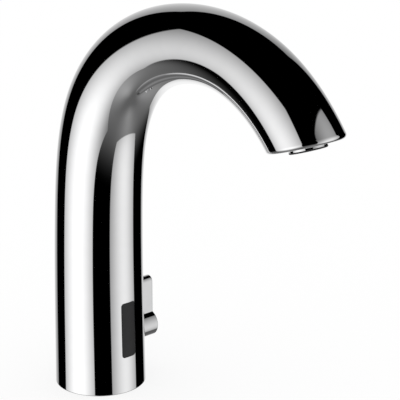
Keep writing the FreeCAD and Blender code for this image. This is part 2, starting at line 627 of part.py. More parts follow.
def make_cartridge_housing():
    """The cartridge's sleeve: disc bore, seal bore, guide nose and the mixed-water window."""
    place = (0, LEVER_HEIGHT)
    sleeve = cylinder(CARTRIDGE_RADIUS, FIXED_DISC_START, HOUSING_END, place, Y_AXIS)
    bore = CARTRIDGE_RADIUS - HOUSING_WALL
    sleeve = sleeve.cut(cylinder(bore, FIXED_DISC_START, HOUSING_SHOULDER, place, Y_AXIS))
    sleeve = sleeve.cut(cylinder(ORING_BORE, HOUSING_SHOULDER, HOUSING_END - HOUSING_NOSE, place, Y_AXIS))
    sleeve = sleeve.cut(cylinder(SPINDLE_BORE, HOUSING_SHOULDER, HOUSING_END, place, Y_AXIS))
    window = block((-CARTRIDGE_RADIUS, MOVING_DISC_START, LEVER_HEIGHT + PORT_RADIUS),
                   (PORT_RADIUS, MOVING_DISC_START + DISC_THICKNESS, LEVER_HEIGHT + CARTRIDGE_RADIUS))
    return sleeve.cut(window)


def make_spindle_seals():
    """Two O-rings that close the gap between the spindle and the cartridge."""
    rings = []
    last = HOUSING_END - HOUSING_NOSE - ORING_SECTION_RADIUS
    for k in range(2):
        centre = V(0, last - k * ORING_PITCH, LEVER_HEIGHT)
        rings.append(Part.makeTorus(ORING_MEAN_RADIUS, ORING_SECTION_RADIUS, centre, Y_AXIS))
    return Part.makeCompound(rings)


def sector_bar(inner, outer, start, end, middle_angle, half_angle):
    """A piece of a ring about the lever's axis, between two angles from straight up."""
    full = ring(outer, inner, start, end, (0, LEVER_HEIGHT), Y_AXIS)
    wedge_points = [V(0, start, LEVER_HEIGHT)]
    for side in (-1, 0, 1):
        angle = math.radians(middle_angle + side * half_angle)
        reach = 2 * outer
        wedge_points.append(V(reach * math.sin(angle), start, LEVER_HEIGHT + reach * math.cos(angle)))
    wedge_points.append(wedge_points[0])
    wedge = Part.Face(Part.makePolygon(wedge_points)).extrude(V(0, end - start, 0))
    return full.common(wedge)


def make_cartridge_nut():
    """The brass ring nut that holds the cartridge in, with two ears that stop the lever's swing."""
    place = (0, LEVER_HEIGHT)
    nut = ring(CARTRIDGE_RADIUS + LAPPED_GAP, SPINDLE_RADIUS + NUT_BORE_GAP, HOUSING_END, NUT_END,
               place, Y_AXIS)
    ear_inner = STOP_RING_RADIUS + MOVING_GAP
    ear_outer = STOP_RING_RADIUS + STOP_LUG_HEIGHT + MOVING_GAP
    swing = LEVER_SWING + STOP_LUG_HALF_ANGLE + STOP_CLEAR_ANGLE + STOP_EAR_ANGLE / 2
    for side in (-1, 1):
        ear = sector_bar(ear_inner, ear_outer, NUT_END, STOP_RING_START + STOP_RING_THICKNESS,
                         side * swing, STOP_EAR_ANGLE / 2)
        nut = nut.fuse(ear)
    return nut


def make_stop_ring():
    """The temperature stop: a ring keyed on the spindle with one lug."""
    end = STOP_RING_START + STOP_RING_THICKNESS
    stop = ring(STOP_RING_RADIUS, SPINDLE_RADIUS + THREAD_FIT, STOP_RING_START, end,
                (0, LEVER_HEIGHT), Y_AXIS)
    lug = sector_bar(STOP_RING_RADIUS - STOP_LUG_ROOT, STOP_RING_RADIUS + STOP_LUG_HEIGHT,
                     STOP_RING_START, end, 0.0, STOP_LUG_HALF_ANGLE)
    return stop.fuse(lug)


def make_mixing_spindle():
    """The brass spindle: a drive plate behind the moving disc and a shaft out to the lever."""
    place = (0, LEVER_HEIGHT)
    plate = cylinder(DISC_RADIUS - MOVING_GAP, DRIVE_PLATE_START, DRIVE_PLATE_END, place, Y_AXIS)
    shaft_end = SOCKET_END - SPINDLE_END_GAP
    shaft = cylinder(SPINDLE_RADIUS, DRIVE_PLATE_END, shaft_end, place, Y_AXIS)
    flat_x = -SPINDLE_RADIUS + SPINDLE_FLAT_DEPTH
    flat = block((-2 * SPINDLE_RADIUS, GRUB_PLACE - 2 * GRUB_RADIUS, LEVER_HEIGHT - SPINDLE_RADIUS),
                 (flat_x, shaft_end, LEVER_HEIGHT + SPINDLE_RADIUS))
    return plate.fuse(shaft).cut(flat)


def make_mixing_lever():
    """The lever: a round hub and an upright blade with a round top, flush with the hub's end."""
    place = (0, LEVER_HEIGHT)
    hub = cylinder(HUB_RADIUS, HUB_START, HUB_END, place, Y_AXIS)
    round_middle = BLADE_TOP - BLADE_THICKNESS / 2
    blade = block((-BLADE_THICKNESS / 2, HUB_END - BLADE_WIDTH, LEVER_HEIGHT),
                  (BLADE_THICKNESS / 2, HUB_END, round_middle))
    blade = blade.fuse(cylinder(BLADE_THICKNESS / 2, HUB_END - BLADE_WIDTH, HUB_END,
                                (0, round_middle), Y_AXIS))
    lever = hub.fuse(blade).removeSplitter()
    outer_edges = [e for e in lever.Edges if HUB_END - e.BoundBox.YMin < TOUCHING]
    lever = lever.makeFillet(BLADE_EDGE, outer_edges)
    socket = cylinder(SPINDLE_RADIUS + THREAD_FIT, HUB_START, SOCKET_END, place, Y_AXIS)
    grub_hole = cylinder(GRUB_RADIUS + THREAD_FIT, -HUB_RADIUS - CUT_OVERRUN, 0,
                         (GRUB_PLACE, LEVER_HEIGHT), X_AXIS)
    return lever.cut(socket).cut(grub_hole)


def make_lever_screw():
    """The grub screw that clamps the lever to the spindle's flat."""
    tip = -SPINDLE_RADIUS + SPINDLE_FLAT_DEPTH
    head = -HUB_RADIUS + GRUB_SINK
    place = (GRUB_PLACE, LEVER_HEIGHT)
    screw = cylinder(GRUB_RADIUS, head, tip, place, X_AXIS)
    return screw.cut(cylinder(GRUB_RADIUS * HEX_SOCKET_SHARE, head, (head + tip) / 2, place, X_AXIS))


def make_lever_bush():
    """The plastic bush that guides the hub in the shell's bore."""
    inner = HUB_RADIUS + RUNNING_FIT
    return ring(inner + BUSH_WALL - THREAD_FIT, inner, BUSH_START, BUSH_START + BUSH_LENGTH,
                (0, LEVER_HEIGHT), Y_AXIS)


def make_inlet_filter(place):
    """A plastic strainer: a rim with crossed webs."""
    top = PLATE_TOP + FILTER_THICKNESS
    strainer = ring(CHECK_RADIUS, CHECK_RADIUS - FILTER_RIM, PLATE_TOP, top, place)
    reach = CHECK_RADIUS - FILTER_RIM / 2
    along_x = block((place[0] - reach, place[1] - FILTER_WEB / 2, PLATE_TOP),
                    (place[0] + reach, place[1] + FILTER_WEB / 2, top))
    along_y = block((place[0] - FILTER_WEB / 2, place[1] - reach, PLATE_TOP),
                    (place[0] + FILTER_WEB / 2, place[1] + reach, top))
    return strainer.fuse([along_x, along_y])


def make_check_housing(place):
    """The check valve's sleeve: a seat below and a guide with flow holes above."""
    sleeve = cylinder(CHECK_RADIUS, CHECK_BOTTOM, CHECK_TOP, place)
    bore = CHECK_RADIUS - CHECK_WALL
    sleeve = sleeve.cut(cylinder(bore, CHECK_BOTTOM + CHECK_SEAT_THICKNESS, CHECK_GUIDE_BOTTOM, place))
    sleeve = sleeve.cut(cylinder(CHECK_SEAT_RADIUS, CHECK_BOTTOM, CHECK_GUIDE_BOTTOM, place))
    sleeve = sleeve.cut(cylinder(POPPET_STEM_RADIUS + RUNNING_FIT, CHECK_GUIDE_BOTTOM, CHECK_TOP, place))
    flow_radius = (bore - POPPET_STEM_RADIUS) / 4
    flow_circle = (bore + POPPET_STEM_RADIUS) / 2
    for k in range(6):
        dx, dy = polar(flow_circle, 60.0 * k)
        hole = cylinder(flow_radius, CHECK_GUIDE_BOTTOM, CHECK_TOP, (place[0] + dx, place[1] + dy))
        sleeve = sleeve.cut(hole)
    return sleeve


def make_check_poppet(place):
    """The check valve's poppet: a disc on a stem that slides in the guide."""
    disc_top = POPPET_BOTTOM + POPPET_THICKNESS
    stem_top = CHECK_GUIDE_BOTTOM + CHECK_GUIDE_THICKNESS - POPPET_TRAVEL / 2
    disc = cylinder(POPPET_RADIUS, POPPET_BOTTOM, disc_top, place)
    return disc.fuse(cylinder(POPPET_STEM_RADIUS, disc_top, stem_top, place))


def make_check_spring(place):
    """The check valve's closing spring, between the poppet and the guide."""
    inner = POPPET_STEM_RADIUS + SEAT_GAP
    return ring(inner + CHECK_SPRING_WALL, inner, POPPET_BOTTOM + POPPET_THICKNESS, CHECK_GUIDE_BOTTOM, place)


def make_diaphragm():
    """The rubber membrane, clamped at its rim between the block and the bonnet."""
    return ring(DIAPHRAGM_RADIUS, CORE_RADIUS + MOVING_GAP, BLOCK_TOP, DIAPHRAGM_TOP, (SOLENOID_X, 0))


def make_diaphragm_core():
    """The rigid centre of the diaphragm, with the pilot hole through it."""
    centre = (SOLENOID_X, 0)
    foot = cylinder(SEAT_BORE_RADIUS + SEAT_WALL, CORE_BOTTOM, BLOCK_TOP + MOVING_GAP, centre)
    head = cylinder(CORE_RADIUS, BLOCK_TOP + MOVING_GAP, CORE_TOP, centre)
    return foot.fuse(head).cut(cylinder(PILOT_RADIUS, CORE_BOTTOM, CORE_TOP, centre))


def make_bonnet():
    """The valve's bonnet and core tube in one piece."""
    centre = (SOLENOID_X, 0)
    bonnet = cylinder(BONNET_RADIUS, DIAPHRAGM_TOP, BONNET_TOP, centre)
    bonnet = bonnet.fuse(cylinder(CORE_TUBE_RADIUS, BONNET_TOP, CORE_TUBE_TOP, centre))
    bonnet = bonnet.cut(cylinder(CORE_RADIUS + MOVING_GAP, DIAPHRAGM_TOP, BONNET_CAVITY_TOP, centre))
    return bonnet.cut(cylinder(TUBE_BORE, DIAPHRAGM_TOP, CORE_TUBE_TOP, centre))


def make_plunger():
    """The steel plunger with its stem and the pocket for the return spring."""
    centre = (SOLENOID_X, 0)
    stem_bottom = PLUNGER_SEAL_BOTTOM + PLUNGER_SEAL_LENGTH
    stem = cylinder(PLUNGER_TIP_RADIUS, stem_bottom, PLUNGER_BODY_BOTTOM, centre)
    body = cylinder(PLUNGER_RADIUS, PLUNGER_BODY_BOTTOM, PLUNGER_TOP, centre)
    pocket = cylinder(SPRING_RADIUS + SEAT_GAP, PLUNGER_TOP - SPRING_POCKET_DEPTH, PLUNGER_TOP, centre)
    return body.fuse(stem).cut(pocket)


def make_plunger_seal():
    """The rubber tip that closes the pilot hole."""
    return cylinder(PLUNGER_TIP_RADIUS, PLUNGER_SEAL_BOTTOM, PLUNGER_SEAL_BOTTOM + PLUNGER_SEAL_LENGTH,
                    (SOLENOID_X, 0))


def make_plunger_spring():
    """The return spring, from the plunger's pocket to the pole piece."""
    return ring(SPRING_RADIUS, SPRING_RADIUS - SPRING_WALL, PLUNGER_TOP - SPRING_POCKET_DEPTH, POLE_BOTTOM,
                (SOLENOID_X, 0))


def make_pole_piece():
    """The fixed steel core at the top of the tube, with the stud for the coil's nut."""
    centre = (SOLENOID_X, 0)
    core = cylinder(TUBE_BORE - THREAD_FIT, POLE_BOTTOM, CORE_TUBE_TOP, centre)
    return core.fuse(cylinder(POLE_STUD_RADIUS, CORE_TUBE_TOP, POLE_STUD_TOP, centre))


def make_coil():
    """The moulded coil on its bobbin."""
    centre = (SOLENOID_X, 0)
    inner = CORE_TUBE_RADIUS + SEAT_GAP
    winding = ring(COIL_RADIUS - COIL_FLANGE, inner, COIL_BOTTOM, COIL_TOP, centre)
    low = ring(COIL_RADIUS, inner, COIL_BOTTOM, COIL_BOTTOM + COIL_FLANGE, centre)
    high = ring(COIL_RADIUS, inner, COIL_TOP - COIL_FLANGE, COIL_TOP, centre)
    return winding.fuse([low, high])


def make_yoke():
    """The steel frame that closes the coil's magnetic path."""
    half = COIL_RADIUS + SEAT_GAP
    low = (SOLENOID_X - YOKE_WIDTH / 2, -half - YOKE_SHEET, BONNET_TOP)
    high = (SOLENOID_X + YOKE_WIDTH / 2, half + YOKE_SHEET, YOKE_TOP)
    frame = block(low, high)
    frame = frame.cut(block((low[0], -half, COIL_BOTTOM), (high[0], half, COIL_TOP)))
    return frame.cut(cylinder(CORE_TUBE_RADIUS + SEAT_GAP, BONNET_TOP, YOKE_TOP, (SOLENOID_X, 0)))


def make_coil_nut():
    """The nut that holds the coil and its frame on the core tube."""
    centre = (SOLENOID_X, 0)
    nut = hexagon(COIL_NUT_RADIUS, CORE_TUBE_TOP, CORE_TUBE_TOP + COIL_NUT_HEIGHT, centre)
    return nut.cut(cylinder(POLE_STUD_RADIUS + THREAD_FIT, CORE_TUBE_TOP, POLE_STUD_TOP, centre))


def make_sensor_window(outer):
    """The dark window: its face follows the shell, and its flange lies behind the wall."""
    face = rounded_prism_x(WINDOW_WIDTH - 2 * WINDOW_FIT, WINDOW_HEIGHT - 2 * WINDOW_FIT,
                           WINDOW_CORNER - WINDOW_FIT, WINDOW_MIDDLE, WINDOW_FLANGE_FRONT,
                           BASE_RADIUS + CUT_OVERRUN)
    flange = rounded_prism_x(FLANGE_WIDTH, FLANGE_HEIGHT, WINDOW_CORNER, WINDOW_MIDDLE,
                             WINDOW_FLANGE_BACK, WINDOW_FLANGE_FRONT)
    return face.common(outer).fuse(flange).removeSplitter()


def make_window_seal():
    """The rubber frame between the window's flange and the shell."""
    end = WINDOW_FLANGE_FRONT + WINDOW_SEAL_THICKNESS
    inner_width = WINDOW_WIDTH
    inner_height = WINDOW_HEIGHT
    frame = rounded_prism_x(inner_width + 2 * WINDOW_SEAL_WIDTH, inner_height + 2 * WINDOW_SEAL_WIDTH,
                            WINDOW_CORNER, WINDOW_MIDDLE, WINDOW_FLANGE_FRONT, end)
    hole = rounded_prism_x(inner_width, inner_height, WINDOW_CORNER, WINDOW_MIDDLE, WINDOW_FLANGE_FRONT, end)
    return frame.cut(hole)


def make_sensor_housing():
    """The open plastic box that presses the window home and holds the board."""
    box = rounded_prism_x(FLANGE_WIDTH, FLANGE_HEIGHT, WINDOW_CORNER, WINDOW_MIDDLE,
                          SENSOR_BOX_BACK, WINDOW_FLANGE_BACK)
    inner_width = FLANGE_WIDTH - 2 * SENSOR_BOX_WALL
    inner_height = FLANGE_HEIGHT - 2 * SENSOR_BOX_WALL
    hollow = rounded_prism_x(inner_width, inner_height, WINDOW_CORNER - SENSOR_BOX_WALL / 2, WINDOW_MIDDLE,
                             SENSOR_BOX_BACK + SENSOR_BOX_WALL, WINDOW_FLANGE_BACK)
    box = box.cut(hollow)
    ledge = inner_height / 2 - BOARD_CLEARANCE
    for side in (-1, 1):
        middle = WINDOW_MIDDLE + side * ledge
        post = block((SENSOR_BOX_BACK + SENSOR_BOX_WALL / 2, -inner_width / 4, middle - SENSOR_BOX_WALL),
                     (BOARD_BACK, inner_width / 4, middle + SENSOR_BOX_WALL))
        box = box.fuse(post)
    return box


def make_sensor_board():
    """The circuit board behind the window."""
    width = FLANGE_WIDTH - 2 * SENSOR_BOX_WALL - 2 * BOARD_CLEARANCE
    height = FLANGE_HEIGHT - 2 * SENSOR_BOX_WALL - 2 * BOARD_CLEARANCE
    return rounded_prism_x(width, height, WINDOW_CORNER - SENSOR_BOX_WALL / 2, WINDOW_MIDDLE,
                           BOARD_BACK, BOARD_FRONT)


def make_diode(height):
    """A round infrared diode on the board: a base flange, a barrel and a domed end."""
    dome_start = WINDOW_FLANGE_BACK - SEAT_GAP - DIODE_RADIUS
    flange = cylinder(DIODE_RADIUS + DIODE_FLANGE, BOARD_FRONT, BOARD_FRONT + DIODE_FLANGE,
                      (0, height), X_AXIS)
    barrel = cylinder(DIODE_RADIUS, BOARD_FRONT, dome_start, (0, height), X_AXIS)
    dome = Part.makeSphere(DIODE_RADIUS, V(dome_start, 0, height))
    dome = dome.cut(block((-FAR, -FAR, -FAR), (dome_start, FAR, FAR)))
    return flange.fuse([barrel, dome])


def make_sensor_bracket():
    """The steel strip that carries the sensor box on the front of the valve block."""
    half = BRACKET_WIDTH / 2
    strip = block((BRACKET_BACK, -half, BRACKET_BOTTOM), (SENSOR_BOX_BACK, half, WINDOW_TOP))
    for side in (-1, 1):
        strip = strip.cut(cylinder(BRACKET_SCREW_RADIUS + SEAT_GAP, BRACKET_BACK, SENSOR_BOX_BACK,
                                   (side * BRACKET_SCREW_SPREAD, BRACKET_SCREW_HEIGHT), X_AXIS))
    return strip


def make_bracket_screws():
    """Two short screws that hold the bracket to the valve block."""
    screws = []
    for side in (-1, 1):
        place = (side * BRACKET_SCREW_SPREAD, BRACKET_SCREW_HEIGHT)
        tip = SENSOR_BOX_BACK - BRACKET_SCREW_LENGTH
        head_end = SENSOR_BOX_BACK + BRACKET_SCREW_HEAD_HEIGHT
        head = cylinder(BRACKET_SCREW_HEAD_RADIUS, SENSOR_BOX_BACK, head_end, place, X_AXIS)
        shank = cylinder(BRACKET_SCREW_RADIUS, tip, SENSOR_BOX_BACK, place, X_AXIS)
        socket = cylinder(BRACKET_SCREW_RADIUS * HEX_SOCKET_SHARE, SENSOR_BOX_BACK + SEAT_GAP, head_end,
                          place, X_AXIS)
        screws.append(head.fuse(shank).cut(socket))
    return Part.makeCompound(screws)


def rounded_path(points):
    """Straight runs joined by tangent arcs, each as large as its two runs allow."""
    edges = []
    last = points[0]
    for k in range(1, len(points) - 1):
        before = points[k] - points[k - 1]
        after = points[k + 1] - points[k]
        turn = before.getAngle(after)
        shorter = min(before.Length, after.Length)
        back = ARC_SHARE * shorter
        start = points[k] - before.normalize() * back
        end = points[k] + after.normalize() * back
        radius = back / math.tan(turn / 2)
        toward = (before * -1 + after).normalize()
        middle = points[k] + toward * (radius / math.cos(turn / 2) - radius)
        edges.append(Part.LineSegment(last, start).toShape())
        edges.append(Part.Arc(start, middle, end).toShape())
        print("bend radius", round(radius, 1))
        last = end
    edges.append(Part.LineSegment(last, points[-1]).toShape())
    return Part.Wire(edges)


def pipe(points, radius):
    """A round bar along a rounded path."""
    path = rounded_path(points)
    profile = Part.Wire([Part.Circle(points[0], points[1] - points[0], radius).toShape()])
    return path.makePipeShell([profile], True, True)


def make_solenoid_lead():
    """The lead from the coil to the sensor box, held at both ends."""
    lead_x = (SENSOR_BOX_BACK + WINDOW_FLANGE_BACK) / 2
    lead_z = COIL_TOP - LEAD_COIL_INSET
    box_top = WINDOW_MIDDLE + FLANGE_HEIGHT / 2
    start_x = SOLENOID_X + COIL_RADIUS - COIL_FLANGE
    return pipe([V(start_x, 0, lead_z), V(lead_x, 0, lead_z), V(lead_x, 0, box_top)], LEAD_RADIUS)


def make_outlet_nipple():
    """The brass hose nipple in the top of the valve block."""
    place = (TUBE_X, 0)
    bottom = OUTFLOW_HEIGHT + NIPPLE_BORE_RADIUS
    hex_top = BLOCK_TOP + NIPPLE_HEX_HEIGHT
    nipple = cylinder(NIPPLE_THREAD_RADIUS, bottom, BLOCK_TOP, place)
    nipple = nipple.fuse(hexagon(NIPPLE_HEX_RADIUS, BLOCK_TOP, hex_top, place))
    nipple = nipple.fuse(cylinder(BARB_RADIUS, hex_top, hex_top + NIPPLE_LENGTH, place))
    return nipple.cut(cylinder(NIPPLE_BORE_RADIUS, bottom, hex_top + NIPPLE_LENGTH, place))


def tube_points():
    """The tube's route: up from the nipple, round the arch and down to the outlet adapter."""
    points = [V(TUBE_X, 0, BLOCK_TOP + NIPPLE_HEX_HEIGHT), V(TUBE_X, 0, TUBE_STRAIGHT_TOP)]
    for distance, outward in TUBE_ROUTE:
        point, direction = station(distance)
        points.append(point + V(-direction.z, 0, direction.x) * outward)
    outlet = outlet_placement()
    normal = outlet.Rotation.multVec(Z_AXIS)
    end = outlet.Base + normal * ADAPTER_SHOULDER
    points.append(end - normal * TUBE_LAST_RUN)
    points.append(end)
    return points


def make_outlet_tube():
    """The flexible water tube through the spout."""
    points = tube_points()
    return pipe(points, TUBE_RADIUS).cut(pipe(points, TUBE_BORE_RADIUS))


def make_outlet_adapter():
    """The plastic piece in the outlet boss that joins the tube to the aerator."""
    flange = cylinder(AERATOR_RADIUS, ADAPTER_SHOULDER, ADAPTER_FACE)
    barb = cylinder(BARB_RADIUS, ADAPTER_SHOULDER - NIPPLE_LENGTH, ADAPTER_SHOULDER)
    bore = cylinder(NIPPLE_BORE_RADIUS, ADAPTER_SHOULDER - NIPPLE_LENGTH, ADAPTER_FACE)
    cup = cylinder(AERATOR_RADIUS - AERATOR_SEAL_WIDTH, ADAPTER_FACE - ADAPTER_FLANGE / 2, ADAPTER_FACE)
    return at_outlet(flange.fuse(barb).cut(bore).cut(cup))


def make_aerator_seal():
    return at_outlet(ring(AERATOR_RADIUS, AERATOR_RADIUS - AERATOR_SEAL_WIDTH, ADAPTER_FACE, AERATOR_TOP))


def make_aerator_housing():
    """The chromed ring that screws into the outlet, with a lip that holds the insert."""
    inner = AERATOR_RADIUS - AERATOR_WALL
    body = cylinder(AERATOR_RADIUS, AERATOR_TOP, AERATOR_PROUD)
    edges = [e for e in body.Edges
             if abs(e.CenterOfMass.z - AERATOR_PROUD) < TOUCHING and len(e.Vertexes) == 1]
    body = body.makeFillet(AERATOR_EDGE, edges[:1])
    body = body.cut(cylinder(inner, AERATOR_TOP, AERATOR_PROUD - AERATOR_LIP_HEIGHT))
    return at_outlet(body.cut(cylinder(inner - AERATOR_LIP, AERATOR_TOP, AERATOR_PROUD)))


def make_aerator_insert():
    """The flow former: a plastic disc with circles of jets, each with six more than the one inside it."""
    bottom = AERATOR_PROUD - AERATOR_LIP_HEIGHT
    top = bottom - INSERT_THICKNESS
    disc = cylinder(AERATOR_RADIUS - AERATOR_WALL - THREAD_FIT, top, bottom)
    jets = []
    for row, radius in enumerate(INSERT_HOLE_CIRCLES):
        count = max(1, 6 * row)
        for k in range(count):
            jets.append(cylinder(INSERT_HOLE_RADIUS, top, bottom, polar(radius, 360.0 * k / count)))
    return at_outlet(disc.cut(jets))


def make_aerator_screen():
    """The steel screen above the flow former: a rim with crossed wires."""
    bottom = AERATOR_PROUD - AERATOR_LIP_HEIGHT - INSERT_THICKNESS - SCREEN_GAP + SCREEN_THICKNESS
    top = bottom - SCREEN_THICKNESS
    outer = AERATOR_RADIUS - AERATOR_WALL - THREAD_FIT
    disc = cylinder(outer, top, bottom)
    inner = outer - SCREEN_RIM
    cells = []
    count = int(inner / SCREEN_PITCH) + 1
    half = (SCREEN_PITCH - SCREEN_WIRE) / 2
    for i in range(-count, count + 1):
        for j in range(-count, count + 1):
            x = i * SCREEN_PITCH
            y = j * SCREEN_PITCH
            if math.hypot(abs(x) + half, abs(y) + half) < inner:
                cells.append(block((x - half, y - half, top), (x + half, y + half, bottom)))
    return at_outlet(disc.cut(cells))


def build():
    """Makes every piece, by its node name."""
    outer = outer_form()
    return {
        "spout_body": make_spout_body(outer),
        "base_seal": make_base_seal(),
        "base_plate": make_base_plate(),
        "base_screws": make_base_screws(),
        "block_screws": make_block_screws(),
        "cable_grommet": make_cable_grommet(),
        "valve_block": make_valve_block(),
        "cartridge_seal": make_cartridge_seal(),
        "fixed_ceramic_disc": make_fixed_disc(),
        "moving_ceramic_disc": make_moving_disc(),
        "cartridge_housing": make_cartridge_housing(),
        "spindle_seals": make_spindle_seals(),
        "cartridge_nut": make_cartridge_nut(),
        "temperature_stop_ring": make_stop_ring(),
        "mixing_spindle": make_mixing_spindle(),
        "mixing_lever": make_mixing_lever(),
        "lever_screw": make_lever_screw(),
        "lever_bush": make_lever_bush(),
        "hot_filter": make_inlet_filter(HOT_INLET_PLACE),
        "cold_filter": make_inlet_filter(COLD_INLET_PLACE),
        "hot_check_housing": make_check_housing(HOT_INLET_PLACE),
        "cold_check_housing": make_check_housing(COLD_INLET_PLACE),
        "hot_check_poppet": make_check_poppet(HOT_INLET_PLACE),
        "cold_check_poppet": make_check_poppet(COLD_INLET_PLACE),
        "hot_check_spring": make_check_spring(HOT_INLET_PLACE),
        "cold_check_spring": make_check_spring(COLD_INLET_PLACE),
        "diaphragm": make_diaphragm(),
        "diaphragm_core": make_diaphragm_core(),
        "valve_bonnet": make_bonnet(),
        "plunger": make_plunger(),
        "plunger_seal": make_plunger_seal(),
        "plunger_spring": make_plunger_spring(),
        "pole_piece": make_pole_piece(),
        "solenoid_coil": make_coil(),
        "solenoid_yoke": make_yoke(),
        "coil_nut": make_coil_nut(),
        "sensor_window": make_sensor_window(outer),
        "window_seal": make_window_seal(),
        "sensor_housing": make_sensor_housing(),
        "sensor_board": make_sensor_board(),
        "ir_emitter": make_diode(EMITTER_HEIGHT),
        "ir_receiver": make_diode(RECEIVER_HEIGHT),
        "sensor_bracket": make_sensor_bracket(),
        "bracket_screws": make_bracket_screws(),
        "solenoid_lead": make_solenoid_lead(),
        "outlet_nipple": make_outlet_nipple(),
        "outlet_tube": make_outlet_tube(),
        "outlet_adapter": make_outlet_adapter(),
        "aerator_seal": make_aerator_seal(),
        "aerator_housing": make_aerator_housing(),
        "aerator_insert": make_aerator_insert(),
        "aerator_screen": make_aerator_screen(),
    }


os.makedirs("parts", exist_ok=True)
for name, shape in build().items():
    shape.exportStep("parts/" + name + ".step")
    print(name, "solids", len(shape.Solids), "valid", shape.isValid(), "volume", round(shape.Volume, 1))
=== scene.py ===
"""A deck-mounted sensor tap in polished chrome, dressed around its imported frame.

Metres. Origin: centre of the base on the deck. +X runs towards the outlet, +Y towards the
mixing lever, +Z up. Sizes in millimetres are named as such and turned into metres once.
"""

import json
import logging
import math
from dataclasses import dataclass, field
from enum import Enum

import bpy
import numpy as np
from mathutils import Matrix, Vector


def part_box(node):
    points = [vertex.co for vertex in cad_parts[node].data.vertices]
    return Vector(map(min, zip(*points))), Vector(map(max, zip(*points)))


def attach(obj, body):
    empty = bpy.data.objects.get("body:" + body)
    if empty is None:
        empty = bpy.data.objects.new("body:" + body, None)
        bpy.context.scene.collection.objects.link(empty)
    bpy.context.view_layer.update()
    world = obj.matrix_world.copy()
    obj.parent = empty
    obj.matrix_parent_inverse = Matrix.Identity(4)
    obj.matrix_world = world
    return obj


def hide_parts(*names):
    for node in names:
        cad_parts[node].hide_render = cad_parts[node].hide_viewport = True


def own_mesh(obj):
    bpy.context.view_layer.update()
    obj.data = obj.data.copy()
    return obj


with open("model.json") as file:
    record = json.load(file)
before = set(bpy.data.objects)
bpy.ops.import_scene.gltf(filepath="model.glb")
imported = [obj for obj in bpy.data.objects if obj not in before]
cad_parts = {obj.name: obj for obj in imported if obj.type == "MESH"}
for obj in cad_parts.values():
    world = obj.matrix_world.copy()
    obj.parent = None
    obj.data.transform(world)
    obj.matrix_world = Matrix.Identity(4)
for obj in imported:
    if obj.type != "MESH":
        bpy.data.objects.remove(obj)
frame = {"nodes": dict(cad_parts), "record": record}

MM = 0.001
LOG = logging.getLogger("sensor_tap")
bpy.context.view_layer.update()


class Body(str, Enum):
    """The rigid bodies that pieces ride on."""

    TAP = "tap_body"
    MIXING = "mixing_control"


class Slot(str, Enum):
    """The material slots of the record."""

    CHROME = "chrome_plate"
    BRASS = "brass"
    STEEL = "steel"
    RUBBER = "rubber_black"
    BLACK_PLASTIC = "plastic_black"
    WHITE_PLASTIC = "plastic_white"
    GREY_PLASTIC = "plastic_grey"
    WINDOW = "window_dark"
    CERAMIC = "ceramic"
    BOARD = "board_green"
    LENS = "diode_lens"
    COIL = "coil_mould"


# ---- sums in node trees ----------------------------------------------------------------


def connect(tree: bpy.types.NodeTree, value: object, slot: bpy.types.NodeSocket) -> None:
    """Feeds a node's input from another node, or sets it to a constant.

    Args:
        tree: The tree that holds both nodes.
        value: A Number, an Arrow, a socket or a constant.
        slot: The input to feed.
    """
    if isinstance(value, (Number, Arrow)):
        tree.links.new(value.socket, slot)
    elif isinstance(value, bpy.types.NodeSocket):
        tree.links.new(value, slot)
    else:
        slot.default_value = value


class Number:
    """A number in a node tree that takes part in sums as a plain number does."""

    def __init__(self, tree: bpy.types.NodeTree, socket: bpy.types.NodeSocket) -> None:
        """Wraps an output socket.

        Args:
            tree: The tree of the socket.
            socket: An output that carries one number.
        """
        self.tree = tree
        self.socket = socket

    def math(self, operation: str, *others: object) -> "Number":
        """Adds one Math node.

        Args:
            operation: The node's operation.
            others: The second and third operands.

        Returns:
            The node's result.
        """
        node = self.tree.nodes.new("ShaderNodeMath")
        node.operation = operation
        for slot, value in zip(node.inputs, (self, *others)):
            connect(self.tree, value, slot)
        return Number(self.tree, node.outputs[0])

    def __add__(self, other: object) -> "Number":
        """The sum."""
        return self.math("ADD", other)

    __radd__ = __add__

    def __sub__(self, other: object) -> "Number":
        """The difference."""
        return self.math("SUBTRACT", other)

    def __rsub__(self, other: object) -> "Number":
        """The difference from a constant."""
        return self.math("MULTIPLY_ADD", -1.0, other)

    def __mul__(self, other: object) -> "Number":
        """The product."""
        return self.math("MULTIPLY", other)

    __rmul__ = __mul__

    def __truediv__(self, other: object) -> "Number":
        """The quotient."""
        return self.math("DIVIDE", other)

    def __pow__(self, other: object) -> "Number":
        """The power."""
        return self.math("POWER", other)

    def least(self, other: object) -> "Number":
        """The smaller of two numbers."""
        return self.math("MINIMUM", other)

    def most(self, other: object) -> "Number":
        """The larger of two numbers."""
        return self.math("MAXIMUM", other)

    def rise(self, low: float, high: float) -> "Number":
        """A smooth step from 0 at low to 1 at high.

        Args:
            low: Where the step starts.
            high: Where it ends; lower than low for a falling step.

        Returns:
            The step.
        """
        node = self.tree.nodes.new("ShaderNodeMapRange")
        node.interpolation_type = "SMOOTHSTEP"
        connect(self.tree, self, node.inputs["Value"])
        node.inputs["From Min"].default_value = low
        node.inputs["From Max"].default_value = high
        return Number(self.tree, node.outputs["Result"])

    def mixed(self, first: object, second: object) -> "Number":
        """A number between two others: first at 0, second at 1."""
        return self * (second - first) + first


